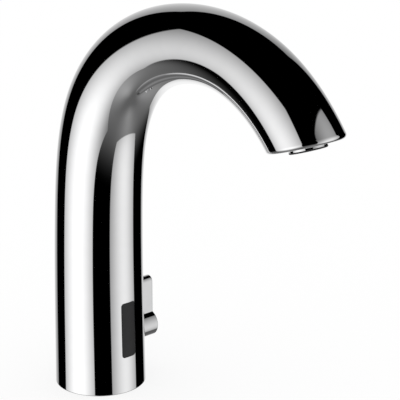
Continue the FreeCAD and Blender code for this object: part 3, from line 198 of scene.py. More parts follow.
class Arrow:
    """A vector in a node tree."""

    def __init__(self, tree: bpy.types.NodeTree, socket: bpy.types.NodeSocket) -> None:
        """Wraps an output socket.

        Args:
            tree: The tree of the socket.
            socket: An output that carries a vector.
        """
        self.tree = tree
        self.socket = socket

    def vector_math(self, operation: str, other: object = None) -> bpy.types.Node:
        """Adds one Vector Math node.

        Args:
            operation: The node's operation.
            other: The second operand.

        Returns:
            The node.
        """
        node = self.tree.nodes.new("ShaderNodeVectorMath")
        node.operation = operation
        connect(self.tree, self, node.inputs[0])
        if other is not None:
            connect(self.tree, other, node.inputs[1])
        return node

    def __add__(self, other: object) -> "Arrow":
        """The sum of two vectors."""
        return Arrow(self.tree, self.vector_math("ADD", other).outputs[0])

    def __sub__(self, other: object) -> "Arrow":
        """The difference of two vectors."""
        return Arrow(self.tree, self.vector_math("SUBTRACT", other).outputs[0])

    def __mul__(self, factor: object) -> "Arrow":
        """The vector made longer by a factor."""
        node = self.vector_math("SCALE")
        connect(self.tree, factor, node.inputs["Scale"])
        return Arrow(self.tree, node.outputs[0])

    def dot(self, other: object) -> Number:
        """The dot product."""
        return Number(self.tree, self.vector_math("DOT_PRODUCT", other).outputs["Value"])

    def size(self) -> Number:
        """The vector's length."""
        return Number(self.tree, self.vector_math("LENGTH").outputs["Value"])

    def unit(self) -> "Arrow":
        """The vector at length 1."""
        return Arrow(self.tree, self.vector_math("NORMALIZE").outputs[0])

    def parts(self) -> tuple[Number, Number, Number]:
        """The vector's x, y and z."""
        node = self.tree.nodes.new("ShaderNodeSeparateXYZ")
        connect(self.tree, self, node.inputs[0])
        return tuple(Number(self.tree, out) for out in node.outputs)


def arrow(tree: bpy.types.NodeTree, x: object, y: object, z: object) -> Arrow:
    """A vector from three numbers.

    Args:
        tree: The tree to add it to.
        x: The first part.
        y: The second part.
        z: The third part.

    Returns:
        The vector.
    """
    node = tree.nodes.new("ShaderNodeCombineXYZ")
    for slot, value in zip(node.inputs, (x, y, z)):
        connect(tree, value, slot)
    return Arrow(tree, node.outputs[0])


# ---- finishes ---------------------------------------------------------------------------


BROAD_GRAIN = 9.0
FINE_DETAIL, BROAD_DETAIL = 4.0, 2.0
PATTERN_BAND = (0.3, 0.7)
MIX_FACTOR, MIX_FIRST, MIX_SECOND, MIX_COLOUR = 0, 6, 7, 2


@dataclass(frozen=True)
class Finish:
    """One procedural surface finish."""

    name: str
    colour: tuple[float, float, float]
    deep: tuple[float, float, float]
    metallic: float = 0.0
    smooth: float = 0.3
    rough: float = 0.4
    grain_mm: float = 1.0
    stretch: tuple[float, float, float] = (1.0, 1.0, 1.0)
    bump_mm: float = 0.0
    specular: float = 0.5
    coat: float = 0.0

    def material(self) -> bpy.types.Material:
        """Makes the node material once and gives the same one after that.

        Returns:
            The material.
        """
        made = bpy.data.materials.get(self.name)
        if made is not None:
            return made
        made = bpy.data.materials.new(self.name)
        made.use_nodes = True
        tree = made.node_tree
        shader = tree.nodes["Principled BSDF"]
        place = tree.nodes.new("ShaderNodeTexCoord")
        mapping = tree.nodes.new("ShaderNodeMapping")
        mapping.inputs["Scale"].default_value = self.stretch
        tree.links.new(place.outputs["Object"], mapping.inputs["Vector"])
        fine = self.noise(tree, mapping, self.grain_mm, FINE_DETAIL)
        broad = self.noise(tree, mapping, self.grain_mm * BROAD_GRAIN, BROAD_DETAIL)
        tint = tree.nodes.new("ShaderNodeMix")
        tint.data_type = "RGBA"
        connect(tree, (fine * 0.5 + broad * 0.5).rise(*PATTERN_BAND), tint.inputs[MIX_FACTOR])
        tint.inputs[MIX_FIRST].default_value = (*self.deep, 1.0)
        tint.inputs[MIX_SECOND].default_value = (*self.colour, 1.0)
        tree.links.new(tint.outputs[MIX_COLOUR], shader.inputs["Base Color"])
        roughness = broad.rise(*PATTERN_BAND).mixed(self.smooth, self.rough)
        connect(tree, roughness, shader.inputs["Roughness"])
        shader.inputs["Metallic"].default_value = self.metallic
        shader.inputs["Specular IOR Level"].default_value = self.specular
        shader.inputs["Coat Weight"].default_value = self.coat
        if self.bump_mm:
            bump = tree.nodes.new("ShaderNodeBump")
            bump.inputs["Distance"].default_value = self.bump_mm * MM
            connect(tree, fine, bump.inputs["Height"])
            tree.links.new(bump.outputs["Normal"], shader.inputs["Normal"])
        return made

    @staticmethod
    def noise(tree: bpy.types.NodeTree, mapping: bpy.types.Node, grain_mm: float, detail: float) -> Number:
        """Adds a noise pattern of a given grain.

        Args:
            tree: The material's tree.
            mapping: The node that gives the place.
            grain_mm: The pattern's size.
            detail: How many finer layers it has.

        Returns:
            The pattern's value.
        """
        node = tree.nodes.new("ShaderNodeTexNoise")
        node.inputs["Scale"].default_value = 1.0 / (grain_mm * MM)
        node.inputs["Detail"].default_value = detail
        tree.links.new(mapping.outputs[0], node.inputs["Vector"])
        return Number(tree, node.outputs[0])


FINISHES: dict[Slot, Finish] = {
    Slot.CHROME: Finish("polished_chrome", (0.93, 0.93, 0.935), (0.9, 0.9, 0.905), metallic=1.0,
                        smooth=0.02, rough=0.035, grain_mm=6.0),
    Slot.BRASS: Finish("turned_brass", (0.74, 0.56, 0.27), (0.6, 0.43, 0.19), metallic=1.0,
                       smooth=0.24, rough=0.38, grain_mm=0.5, stretch=(1.0, 1.0, 6.0), bump_mm=0.02),
    Slot.STEEL: Finish("drawn_steel", (0.62, 0.62, 0.63), (0.48, 0.48, 0.5), metallic=1.0,
                       smooth=0.22, rough=0.36, grain_mm=0.4, stretch=(1.0, 1.0, 5.0), bump_mm=0.01),
    Slot.RUBBER: Finish("black_rubber", (0.032, 0.032, 0.034), (0.018, 0.018, 0.019),
                        smooth=0.55, rough=0.72, grain_mm=0.35, bump_mm=0.02, specular=0.35),
    Slot.BLACK_PLASTIC: Finish("black_moulding", (0.045, 0.045, 0.05), (0.03, 0.03, 0.034),
                               smooth=0.38, rough=0.5, grain_mm=0.3, bump_mm=0.01),
    Slot.WHITE_PLASTIC: Finish("natural_moulding", (0.82, 0.82, 0.79), (0.74, 0.74, 0.7),
                               smooth=0.35, rough=0.46, grain_mm=0.8, bump_mm=0.005),
    Slot.GREY_PLASTIC: Finish("grey_moulding", (0.5, 0.51, 0.52), (0.42, 0.43, 0.44),
                              smooth=0.34, rough=0.45, grain_mm=0.6, bump_mm=0.005),
    Slot.WINDOW: Finish("smoked_window", (0.007, 0.007, 0.0075), (0.004, 0.004, 0.0045),
                        smooth=0.05, rough=0.08, grain_mm=4.0, specular=0.34),
    Slot.CERAMIC: Finish("lapped_ceramic", (0.86, 0.86, 0.83), (0.78, 0.78, 0.76),
                         smooth=0.08, rough=0.16, grain_mm=0.5, coat=0.3),
    Slot.BOARD: Finish("lacquered_board", (0.05, 0.25, 0.12), (0.03, 0.17, 0.08),
                       smooth=0.26, rough=0.36, grain_mm=0.9, stretch=(1.0, 1.0, 3.0), coat=0.3),
    Slot.LENS: Finish("tinted_lens", (0.12, 0.06, 0.14), (0.07, 0.03, 0.09),
                      smooth=0.06, rough=0.1, grain_mm=0.7, coat=0.5),
    Slot.COIL: Finish("coil_moulding", (0.1, 0.1, 0.11), (0.06, 0.06, 0.07),
                      smooth=0.45, rough=0.58, grain_mm=0.4, bump_mm=0.02),
}

# A darker copy of the polished chrome for the lever, whose slot is chrome_plate: painted shade that dims
# its reflections.
SHADED_LEVER_CHROME = Finish("lever_chrome", (0.8, 0.8, 0.805), (0.76, 0.76, 0.765), metallic=1.0,
                      smooth=0.03, rough=0.05, grain_mm=6.0)


# ---- meshes -------------------------------------------------------------------------------


def link_object(name: str, mesh: bpy.types.Mesh) -> bpy.types.Object:
    """Puts a mesh in the scene under a piece's name.

    Args:
        name: The piece's name.
        mesh: Its mesh.

    Returns:
        The new object.
    """
    piece = bpy.data.objects.new(name, mesh)
    bpy.context.scene.collection.objects.link(piece)
    return piece


def mesh_object(name: str, points: np.ndarray, faces: list) -> bpy.types.Object:
    """Makes a piece from points and faces.

    Args:
        name: The piece's name.
        points: Its points in metres.
        faces: Tuples of point numbers, seen from outside in turn.

    Returns:
        The new object, at the origin.
    """
    mesh = bpy.data.meshes.new(name)
    mesh.from_pydata([tuple(p) for p in points], [], faces)
    mesh.update()
    return link_object(name, mesh)


def settle(piece: bpy.types.Object) -> None:
    """Turns a piece's modifiers into a plain mesh and takes them off.

    Args:
        piece: The piece.
    """
    bpy.context.view_layer.update()
    depsgraph = bpy.context.evaluated_depsgraph_get()
    made = bpy.data.meshes.new_from_object(piece.evaluated_get(depsgraph))
    made.name = piece.name
    piece.modifiers.clear()
    piece.data = made


def soften(piece: bpy.types.Object, edge_degrees: float = 32.0) -> None:
    """Smooths a piece's faces and keeps its corners crisp."""
    piece.data.shade_smooth()
    piece.data.set_sharp_from_angle(angle=math.radians(edge_degrees))


def combine(piece: bpy.types.Object, others: list[bpy.types.Object], operation: str) -> None:
    """Cuts, joins or trims a piece with others, which are used up.

    Args:
        piece: The piece that stays.
        others: The tools.
        operation: DIFFERENCE, UNION or INTERSECT.
    """
    for other in others:
        change = piece.modifiers.new(operation.lower(), "BOOLEAN")
        change.operation = operation
        change.solver = "EXACT"
        change.object = other
    settle(piece)
    for other in others:
        bpy.data.objects.remove(other)


def dress(piece: bpy.types.Object, slot: Slot, body: Body, nodes: tuple[str, ...],
          finish: Finish | None = None) -> None:
    """Gives a finished piece its finish, its body and the nodes that it stands for.

    Args:
        piece: The finished piece.
        slot: Its material slot.
        body: What it rides on.
        nodes: The solids of the frame that it replaces.
        finish: Its finish where that isn't the slot's own.
    """
    piece.data.materials.clear()
    piece.data.materials.append((finish or FINISHES[slot]).material())
    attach(piece, body.value)
    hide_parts(*nodes)
    LOG.info("%s: %d faces", piece.name, len(piece.data.polygons))


def turned(name: str, profile: list[tuple[float, float]], segments: int, place: Matrix) -> bpy.types.Object:
    """Turns a closed profile about the place's Z axis.

    Args:
        name: The piece's name.
        profile: (radius, height) in millimetres, up the outside and down the inside;
            a radius of 0 is a point on the axis.
        segments: The number of steps round.
        place: Where the axis stands, in metres.

    Returns:
        The solid of revolution.
    """
    points: list[Vector] = []
    rings: list[list[int]] = []
    for radius, height in profile:
        if radius == 0.0:
            rings.append([len(points)] * segments)
            points.append(place @ Vector((0.0, 0.0, height * MM)))
            continue
        rings.append(list(range(len(points), len(points) + segments)))
        for k in range(segments):
            angle = 2.0 * math.pi * k / segments
            spot = Vector((radius * math.cos(angle), radius * math.sin(angle), height)) * MM
            points.append(place @ spot)
    faces = []
    count = len(profile)
    for row in range(count):
        low, high = rings[row], rings[(row + 1) % count]
        if low[0] == low[1] and high[0] == high[1]:
            continue
        for k in range(segments):
            n = (k + 1) % segments
            corners = (low[k], low[n], high[n], high[k])
            faces.append(tuple(dict.fromkeys(corners)))
    return mesh_object(name, np.array(points), faces)


def corner(centre: tuple[float, float], radius: float, start: float, end: float, steps: int) -> list:
    """Points of a rounded corner in a profile.

    Args:
        centre: The arc's centre in millimetres.
        radius: Its radius.
        start: The first angle in degrees.
        end: The last angle.
        steps: The number of chords.

    Returns:
        The points, both ends among them.
    """
    angles = [math.radians(start + (end - start) * k / steps) for k in range(steps + 1)]
    return [(centre[0] + radius * math.cos(a), centre[1] + radius * math.sin(a)) for a in angles]


def rounded_outline(width: float, height: float, radius: float, middle: float, steps: int = 10) -> list:
    """A rounded rectangle about (0, middle), anticlockwise, in millimetres.

    Args:
        width: Its width.
        height: Its height.
        radius: Its corners' radius.
        middle: The height of its middle.
        steps: The number of chords in a corner.

    Returns:
        Its points.
    """
    outline = []
    for k, (sx, sz) in enumerate(((1, 1), (-1, 1), (-1, -1), (1, -1))):
        centre = (sx * (width / 2 - radius), middle + sz * (height / 2 - radius))
        outline += corner(centre, radius, 90.0 * k, 90.0 * (k + 1), steps)
    return outline


def prism_along_x(name: str, outline: list, start: float, end: float) -> bpy.types.Object:
    """A bar along X with an outline in (Y, Z), between two places in millimetres.

    Args:
        name: The bar's name.
        outline: Its section, anticlockwise.
        start: Where it starts.
        end: Where it ends.

    Returns:
        The bar.
    """
    count = len(outline)
    points = [(x * MM, y * MM, z * MM) for x in (start, end) for y, z in outline]
    faces = [tuple(reversed(range(count))), tuple(range(count, 2 * count))]
    faces += [(k, (k + 1) % count, count + (k + 1) % count, count + k) for k in range(count)]
    return mesh_object(name, np.array(points), faces)


class ShapeTree:
    """A Geometry Nodes tree with named inputs; it ends in Realize Instances and Set Material."""

    def __init__(self, name: str, inputs: dict[str, tuple[str, ...]]) -> None:
        """Makes the tree and its inputs.

        Args:
            name: The tree's name.
            inputs: The labels of its inputs, by their kind of socket.
        """
        self.tree = bpy.data.node_groups.new(name, "GeometryNodeTree")
        face = self.tree.interface
        face.new_socket("Geometry", in_out="OUTPUT", socket_type="NodeSocketGeometry")
        for kind, labels in {**inputs, "Material": ("Finish",)}.items():
            for label in labels:
                face.new_socket(label, in_out="INPUT", socket_type="NodeSocket" + kind)
        self.given = self.tree.nodes.new("NodeGroupInput")

    def value(self, label: str) -> "Number | Arrow":
        """One of the tree's named inputs."""
        socket = self.given.outputs[label]
        return Arrow(self.tree, socket) if socket.type == "VECTOR" else Number(self.tree, socket)

    def node(self, kind: str, **feeds: object) -> bpy.types.Node:
        """Adds a node.

        Args:
            kind: The node's type.
            feeds: What feeds each input, under the input's name with _ for a space.

        Returns:
            The node.
        """
        node = self.tree.nodes.new(kind)
        for name, value in feeds.items():
            connect(self.tree, value, node.inputs[name.replace("_", " ")])
        return node

    def close(self, shape: bpy.types.NodeSocket) -> None:
        """Realizes the shape, gives it its finish and ends the tree.

        Args:
            shape: The finished geometry.
        """
        real = self.node("GeometryNodeRealizeInstances", Geometry=shape)
        coat = self.node("GeometryNodeSetMaterial", Geometry=real.outputs[0],
                         Material=self.given.outputs["Finish"])
        self.node("NodeGroupOutput", Geometry=coat.outputs[0])

    def shape(self, piece: bpy.types.Object, inputs: dict[str, object]) -> None:
        """Runs the tree on a piece and leaves a plain mesh.

        Args:
            piece: The piece to shape.
            inputs: The values of the named inputs.
        """
        change = piece.modifiers.new("shape", "NODES")
        change.node_group = self.tree
        for item in self.tree.interface.items_tree:
            if item.name in inputs:
                change[item.identifier] = inputs[item.name]
        settle(piece)


# ---- the shell -----------------------------------------------------------------------------


@dataclass
class Outlet:
    """The tilted outlet face and the frame that its fittings stand in."""

    centre_mm: tuple[float, float, float] = (153.44022, 0.0, 166.08016)
    tilt_degrees: float = 18.5

    def normal(self) -> Vector:
        """The direction out of the spout."""
        tilt = math.radians(self.tilt_degrees)
        return Vector((math.sin(tilt), 0.0, -math.cos(tilt)))

    def place(self) -> Matrix:
        """The frame with its origin in the outlet face and +Z out of the spout."""
        turn = Matrix.Rotation(math.radians(180.0 - self.tilt_degrees), 4, "Y")
        return Matrix.Translation(Vector(self.centre_mm) * MM) @ turn


ROW_VALUES = {"kind": 1.0, "station": MM, "stretch": 1.0, "inset": MM, "plane": MM, "rounded": 1.0,
              "turned": 1.0, "radius": MM, "depth": MM, "blend": 1.0}


@dataclass
class SpoutShell:
    """The one-piece shell: an upright column that runs into one arch.

    A node tree sweeps it along the centre line. Each row of the closed net carries how far
    along the line it lies, how deep it is set in, and whether it belongs to the wall, to the
    rounded rim or to the outlet's bore. The radii are a hundredth under the solid's own, which
    keeps the facets inside its box.
    """

    outlet: Outlet
    poles_mm: tuple[tuple[float, float], ...] = (
        (0.0, 0.0), (0.0, 7.5), (0.0, 15.0), (0.0, 105.5),
        (6.9, 169.1), (60.9, 210.2), (127.4, 201.0), (153.5, 166.0),
    )
    base_radius: float = 24.988
    column_radius: float = 22.988
    column_taper: float = 150.0
    tip_radius: float = 18.688
    tip_taper: float = 280.0
    wall: float = 3.0
    end_wall: float = 4.0
    rim_round: float = 2.0
    base_round: float = 0.5
    bore_radius: float = 9.52
    bore_depth: float = 13.2
    tube_radius: float = 3.7
    boss_radius: float = 12.32
    boss_depth: float = 16.2
    stretch_from: float = 240.0
    trimmed_length: float = 329.0
    around: int = 320
    foot_angles: tuple[float, ...] = (0.0, 30.0, 60.0, 90.0)
    foot_margin: float = 0.15
    arch_steps: int = 152
    tip_margin: float = 0.2
    rim_steps: int = 10
    face_blend: float = 0.04
    trim_rounds: int = 7
    trim_from: float = 0.8
    line_detail: int = 480
    column_rows: tuple[float, ...] = (7.5, 15.0, 22.5, 30.0, 37.5, 45.0, 52.5, 60.0, 66.0, 72.0, 78.0,
                                      84.0, 89.0, 94.0)
    inner_step: float = 4.5
    inner_steps: int = 51
    inner_column_rows: tuple[float, ...] = (75.0, 50.0, 25.0, 0.0)
    rows: list[dict[str, float]] = field(default_factory=list)

    def stretch(self, station: float) -> float:
        """How far a row follows the slant of the outlet: 0 in the column, 1 at the end."""
        return max(0.0, (station - self.stretch_from) / (self.trimmed_length - self.stretch_from))

    def wall_row(self, station: float, inset: float = 0.0, inner: bool = False) -> None:
        """Adds a row of the outer or the inner skin."""
        self.rows.append({
            "kind": 0.0, "station": station, "stretch": self.stretch(station), "inset": inset,
            "plane": -self.end_wall if inner else 0.0, "rounded": 0.0 if inner else 1.0,
        })

    def outlet_row(self, radius: float, depth: float, blend: float = 1.0) -> None:
        """Adds a row of the outlet's face or bore."""
        self.rows.append({"kind": 2.0, "rounded": 1.0, "radius": radius, "depth": depth, "blend": blend})

    def lay_rows(self) -> None:
        """Lists the rows of the net, from the foot up the outside and back down the inside."""
        for angle in map(math.radians, self.foot_angles):
            height = self.base_round * (1.0 - math.cos(angle))
            self.wall_row(height, inset=self.base_round * (1.0 - math.sin(angle)))
        self.wall_row(self.base_round + self.foot_margin)
        for station in self.column_rows:
            self.wall_row(station)
        arch_start = self.column_rows[-1]
        for k in range(1, self.arch_steps):
            self.wall_row(arch_start + (self.trimmed_length - arch_start) * k / self.arch_steps)
        self.wall_row(self.trimmed_length - self.tip_margin)
        self.wall_row(self.trimmed_length)
        for k in range(1, self.rim_steps + 1):
            self.rows.append({"kind": 1.0, "rounded": 1.0, "turned": k / self.rim_steps})
        self.outlet_row(self.bore_radius, 0.0, blend=self.face_blend)
        for radius, depth in ((self.bore_radius, 0.0), (self.bore_radius, self.bore_depth),
                              (self.tube_radius, self.bore_depth), (self.tube_radius, self.boss_depth),
                              (self.boss_radius, self.boss_depth), (self.boss_radius, self.end_wall)):
            self.outlet_row(radius, -depth)
        inner_arch = [self.trimmed_length - self.inner_step * k for k in range(self.inner_steps)]
        for station in (*inner_arch, *self.inner_column_rows):
            self.wall_row(station, inset=self.wall, inner=True)

    def net(self) -> bpy.types.Object:
        """Makes the closed net of rows that the node tree shapes.

        Returns:
            The net, with its rows' values as point attributes.
        """
        self.lay_rows()
        count, around = len(self.rows), self.around
        index = np.arange(count * around).reshape(count, around)
        above, beside = np.roll(index, -1, axis=0), np.roll(index, -1, axis=1)
        both = np.roll(above, -1, axis=1)
        quads = np.stack([index, beside, both, above], axis=-1).reshape(-1, 4)
        points = np.zeros((count * around, 3))
        net = mesh_object("spout_shell", points, quads.tolist())
        for name, unit in ROW_VALUES.items():
            values = np.array([row.get(name, 0.0) * unit for row in self.rows], np.float32)
            store = net.data.attributes.new(name, "FLOAT", "POINT")
            store.data.foreach_set("value", np.repeat(values, around))
        angles = np.tile(np.arange(around) * 2.0 * math.pi / around, count).astype(np.float32)
        net.data.attributes.new("around", "FLOAT", "POINT").data.foreach_set("value", angles)
        return net

    def centre_line(self) -> bpy.types.Object:
        """Makes the centre line as a smooth open spline.

        Returns:
            The curve object.
        """
        curve = bpy.data.curves.new("spout_centre_line", "CURVE")
        curve.dimensions = "3D"
        curve.resolution_u = self.line_detail
        spline = curve.splines.new("NURBS")
        spline.points.add(len(self.poles_mm) - 1)
        for point, (x, z) in zip(spline.points, self.poles_mm):
            point.co = (x * MM, 0.0, z * MM, 1.0)
        spline.order_u = 4
        spline.use_endpoint_u = True
        line = bpy.data.objects.new("spout_centre_line", curve)
        bpy.context.scene.collection.objects.link(line)
        return line

    def sweep(self) -> "Sweep":
        """Builds the node tree that lays the net along the centre line.

        Returns:
            The tree, with the shell's sizes as its inputs.
        """
        sweep = Sweep("swept_spout")
        inset = sweep.attribute("inset")
        outlet_centre = sweep.value("Outlet Centre")
        outlet_normal = sweep.value("Outlet Normal")
        distance = sweep.line_length - self.trim_from * MM
        for _ in range(self.trim_rounds):
            spot, run, _ = sweep.skin(distance, inset)
            miss = sweep.attribute("plane") - (spot - outlet_centre).dot(outlet_normal)
            distance = distance + miss / run.dot(outlet_normal)
        _, run, outward = sweep.skin(distance, inset)
        turn = sweep.rim_turn(run, outward, outlet_normal)
        reach = sweep.value("Rim Round") * (turn * 0.5).math("TANGENT")
        wall_end = distance - reach * sweep.attribute("rounded")
        station = sweep.attribute("station")
        follow = sweep.attribute("stretch") * (wall_end - sweep.value("Trimmed Length"))
        on_wall, _, _ = sweep.skin(station + follow, inset)

        edge, run, outward = sweep.skin(wall_end, inset)
        turn = sweep.rim_turn(run, outward, outlet_normal)
        drop = (turn.math("COSINE") - 1.0) * outward.dot(outlet_normal)
        drop = drop + turn.math("SINE") * run.dot(outlet_normal)
        radius = (edge - outlet_centre).dot(outlet_normal) * -1.0 / drop
        part = turn * sweep.attribute("turned")
        on_rim = edge + outward * (radius * (part.math("COSINE") - 1.0))
        on_rim = on_rim + run * (radius * part.math("SINE"))

        face = edge + outward * (radius * (turn.math("COSINE") - 1.0))
        face = face + run * (radius * turn.math("SINE")) - outlet_centre
        outwards = face.unit()
        spread = sweep.attribute("blend").mixed(face.size(), sweep.attribute("radius"))
        in_outlet = outlet_centre + outwards * spread + outlet_normal * sweep.attribute("depth")

        kind = sweep.attribute("kind")
        rim_share = kind.math("COMPARE", 1.0, 0.1)
        outlet_share = kind.math("COMPARE", 2.0, 0.1)
        wall_share = kind.math("COMPARE", 0.0, 0.1)
        place = on_wall * wall_share + on_rim * rim_share + in_outlet * outlet_share
        moved = sweep.node("GeometryNodeSetPosition", Geometry=sweep.given.outputs["Geometry"],
                           Position=place)
        sweep.close(moved.outputs[0])
        return sweep

    def build(self, openings: list[bpy.types.Object]) -> bpy.types.Object:
        """Sweeps the shell and cuts its openings.

        Args:
            openings: The solids to cut away.

        Returns:
            The shell.
        """
        net, line = self.net(), self.centre_line()
        self.sweep().shape(net, {
            "Centre Line": line,
            "Base Radius": self.base_radius * MM,
            "Column Radius": self.column_radius * MM,
            "Column Taper": self.column_taper * MM,
            "Tip Radius": self.tip_radius * MM,
            "Tip Taper": self.tip_taper * MM,
            "Rim Round": self.rim_round * MM,
            "Trimmed Length": self.trimmed_length * MM,
            "Outlet Centre": [c * MM for c in self.outlet.centre_mm],
            "Outlet Normal": list(self.outlet.normal()),
            "Finish": FINISHES[Slot.CHROME].material(),
        })
        for store in (*ROW_VALUES, "around"):
            net.data.attributes.remove(net.data.attributes[store])
        bpy.data.objects.remove(line)
        combine(net, openings, "DIFFERENCE")
        soften(net)
        return net

    def mount(self, openings: list[bpy.types.Object]) -> None:
        """Builds and dresses the shell with its openings."""
        dress(self.build(openings), Slot.CHROME, Body.TAP, ("spout_body",))

    def radius_at(self, height: float) -> float:
        """The column's outside radius at a height."""
        return self.base_radius + (self.column_radius - self.base_radius) * height / self.column_taper


class Sweep(ShapeTree):
    """The node tree of the swept spout, and the sums that it repeats."""

    def __init__(self, name: str) -> None:
        """Makes the tree with its named inputs.

        Args:
            name: The tree's name.
        """
        super().__init__(name, {
            "Geometry": ("Geometry",),
            "Object": ("Centre Line",),
            "Float": ("Base Radius", "Column Radius", "Column Taper", "Tip Radius", "Tip Taper",
                      "Rim Round", "Trimmed Length"),
            "Vector": ("Outlet Centre", "Outlet Normal"),
        })
        info = self.node("GeometryNodeObjectInfo", Object=self.given.outputs["Centre Line"])
        self.line = info.outputs["Geometry"]
        length = self.node("GeometryNodeCurveLength", Curve=self.line)
        self.line_length = Number(self.tree, length.outputs["Length"])
        around = self.attribute("around")
        self.side = (around.math("COSINE"), around.math("SINE"))

    def attribute(self, name: str) -> Number:
        """One of the net's stored values.

        Args:
            name: The value's name.

        Returns:
            The value.
        """
        node = self.node("GeometryNodeInputNamedAttribute", Name=name)
        node.data_type = "FLOAT"
        return Number(self.tree, node.outputs["Attribute"])

    def radius(self, distance: Number) -> Number:
        """The shell's radius: a straight taper, then an easing one, then parallel.

        Args:
            distance: How far along the centre line.

        Returns:
            The radius there.
        """
        base, column = self.value("Base Radius"), self.value("Column Radius")
        taper, tip = self.value("Column Taper"), self.value("Tip Radius")
        slope = (column - base) / taper
        span = self.value("Tip Taper") - taper
        u = ((distance - taper) / span).most(0.0).least(1.0)
        square = u * u
        cube = square * u
        start = (cube * 2.0 - square * 3.0 + 1.0) * column
        lean = (cube - square * 2.0 + u) * span * slope
        end = (square * 3.0 - cube * 2.0) * tip
        return start + lean + end + slope * (distance.least(taper) - taper)

    def skin(self, distance: Number, inset: Number) -> tuple[Arrow, Arrow, Arrow]:
        """A point of the skin at a distance along the centre line.

        Args:
            distance: How far along; past the end the line runs on straight.
            inset: How deep below the outside.

        Returns:
            The point, the line's direction and the direction outwards.
        """
        sample = self.tree.nodes.new("GeometryNodeSampleCurve")
        sample.mode = "LENGTH"
        self.tree.links.new(self.line, sample.inputs["Curves"])
        connect(self.tree, distance.least(self.line_length).most(0.0), sample.inputs["Length"])
        run = Arrow(self.tree, sample.outputs["Tangent"])
        middle = Arrow(self.tree, sample.outputs["Position"])
        middle = middle + run * (distance - self.line_length).most(0.0)
        run_x, _, run_z = run.parts()
        along, across = self.side
        outward = arrow(self.tree, run_z * along, across, run_x * along * -1.0)
        return middle + outward * (self.radius(distance) - inset), run, outward

    @staticmethod
    def rim_turn(run: Arrow, outward: Arrow, normal: Arrow) -> Number:
        """How far the rounded rim turns, from the wall to the outlet's face.

        Args:
            run: The wall's direction.
            outward: The wall's outward direction.
            normal: The outlet's direction.

        Returns:
            The angle.
        """
        in_face = (outward - run * (outward.dot(normal) / run.dot(normal))).unit()
        return (run.dot(in_face) * -1.0).math("ARCCOSINE")


@dataclass
class SensorWindow:
    """The dark window in the front of the column, flush with the shell."""

    shell: SpoutShell
    width: float = 9.4
    bottom: float = 20.5
    top: float = 52.0
    corner_round: float = 1.7
    fit: float = 0.15
    flange_margin: float = 1.7
    flange_thickness: float = 1.2
    cut_start: float = 15.0
    cut_margin: float = 2.0
    flange_overlap: float = 0.4
    bar_end: float = 30.0
    form_margin: float = 4.0
    form_segments: int = 720

    def opening(self) -> bpy.types.Object:
        """The solid that cuts the window's opening.

        Returns:
            The solid.
        """
        outline = rounded_outline(self.width, self.top - self.bottom, self.corner_round,
                                  (self.bottom + self.top) / 2)
        end = self.shell.base_radius + self.cut_margin
        return prism_along_x("window_opening", outline, self.cut_start, end)

    def build(self) -> bpy.types.Object:
        """Trims a bar to the shell's curve and adds the flange behind the wall.

        Returns:
            The window.
        """
        middle = (self.bottom + self.top) / 2
        height = self.top - self.bottom
        flange_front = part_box("window_seal")[0].x / MM
        outline = rounded_outline(self.width - 2 * self.fit, height - 2 * self.fit,
                                  self.corner_round - self.fit, middle)
        bar = prism_along_x("sensor_window_face", outline, flange_front - self.flange_overlap,
                            self.bar_end)
        low, high = self.bottom - self.form_margin, self.top + self.form_margin
        profile = [(0.0, low), (self.shell.radius_at(low), low), (self.shell.radius_at(high), high),
                   (0.0, high)]
        form = turned("column_form", profile, self.form_segments, Matrix.Identity(4))
        combine(bar, [form], "INTERSECT")
        flange_outline = rounded_outline(self.width + 2 * self.flange_margin,
                                         height + 2 * self.flange_margin, self.corner_round, middle)
        flange = prism_along_x("window_flange", flange_outline, flange_front - self.flange_thickness,
                               flange_front)
        combine(bar, [flange], "UNION")
        soften(bar)
        return bar

    def mount(self) -> None:
        """Builds and dresses the window."""
        dress(self.build(), Slot.WINDOW, Body.TAP, ("sensor_window",))


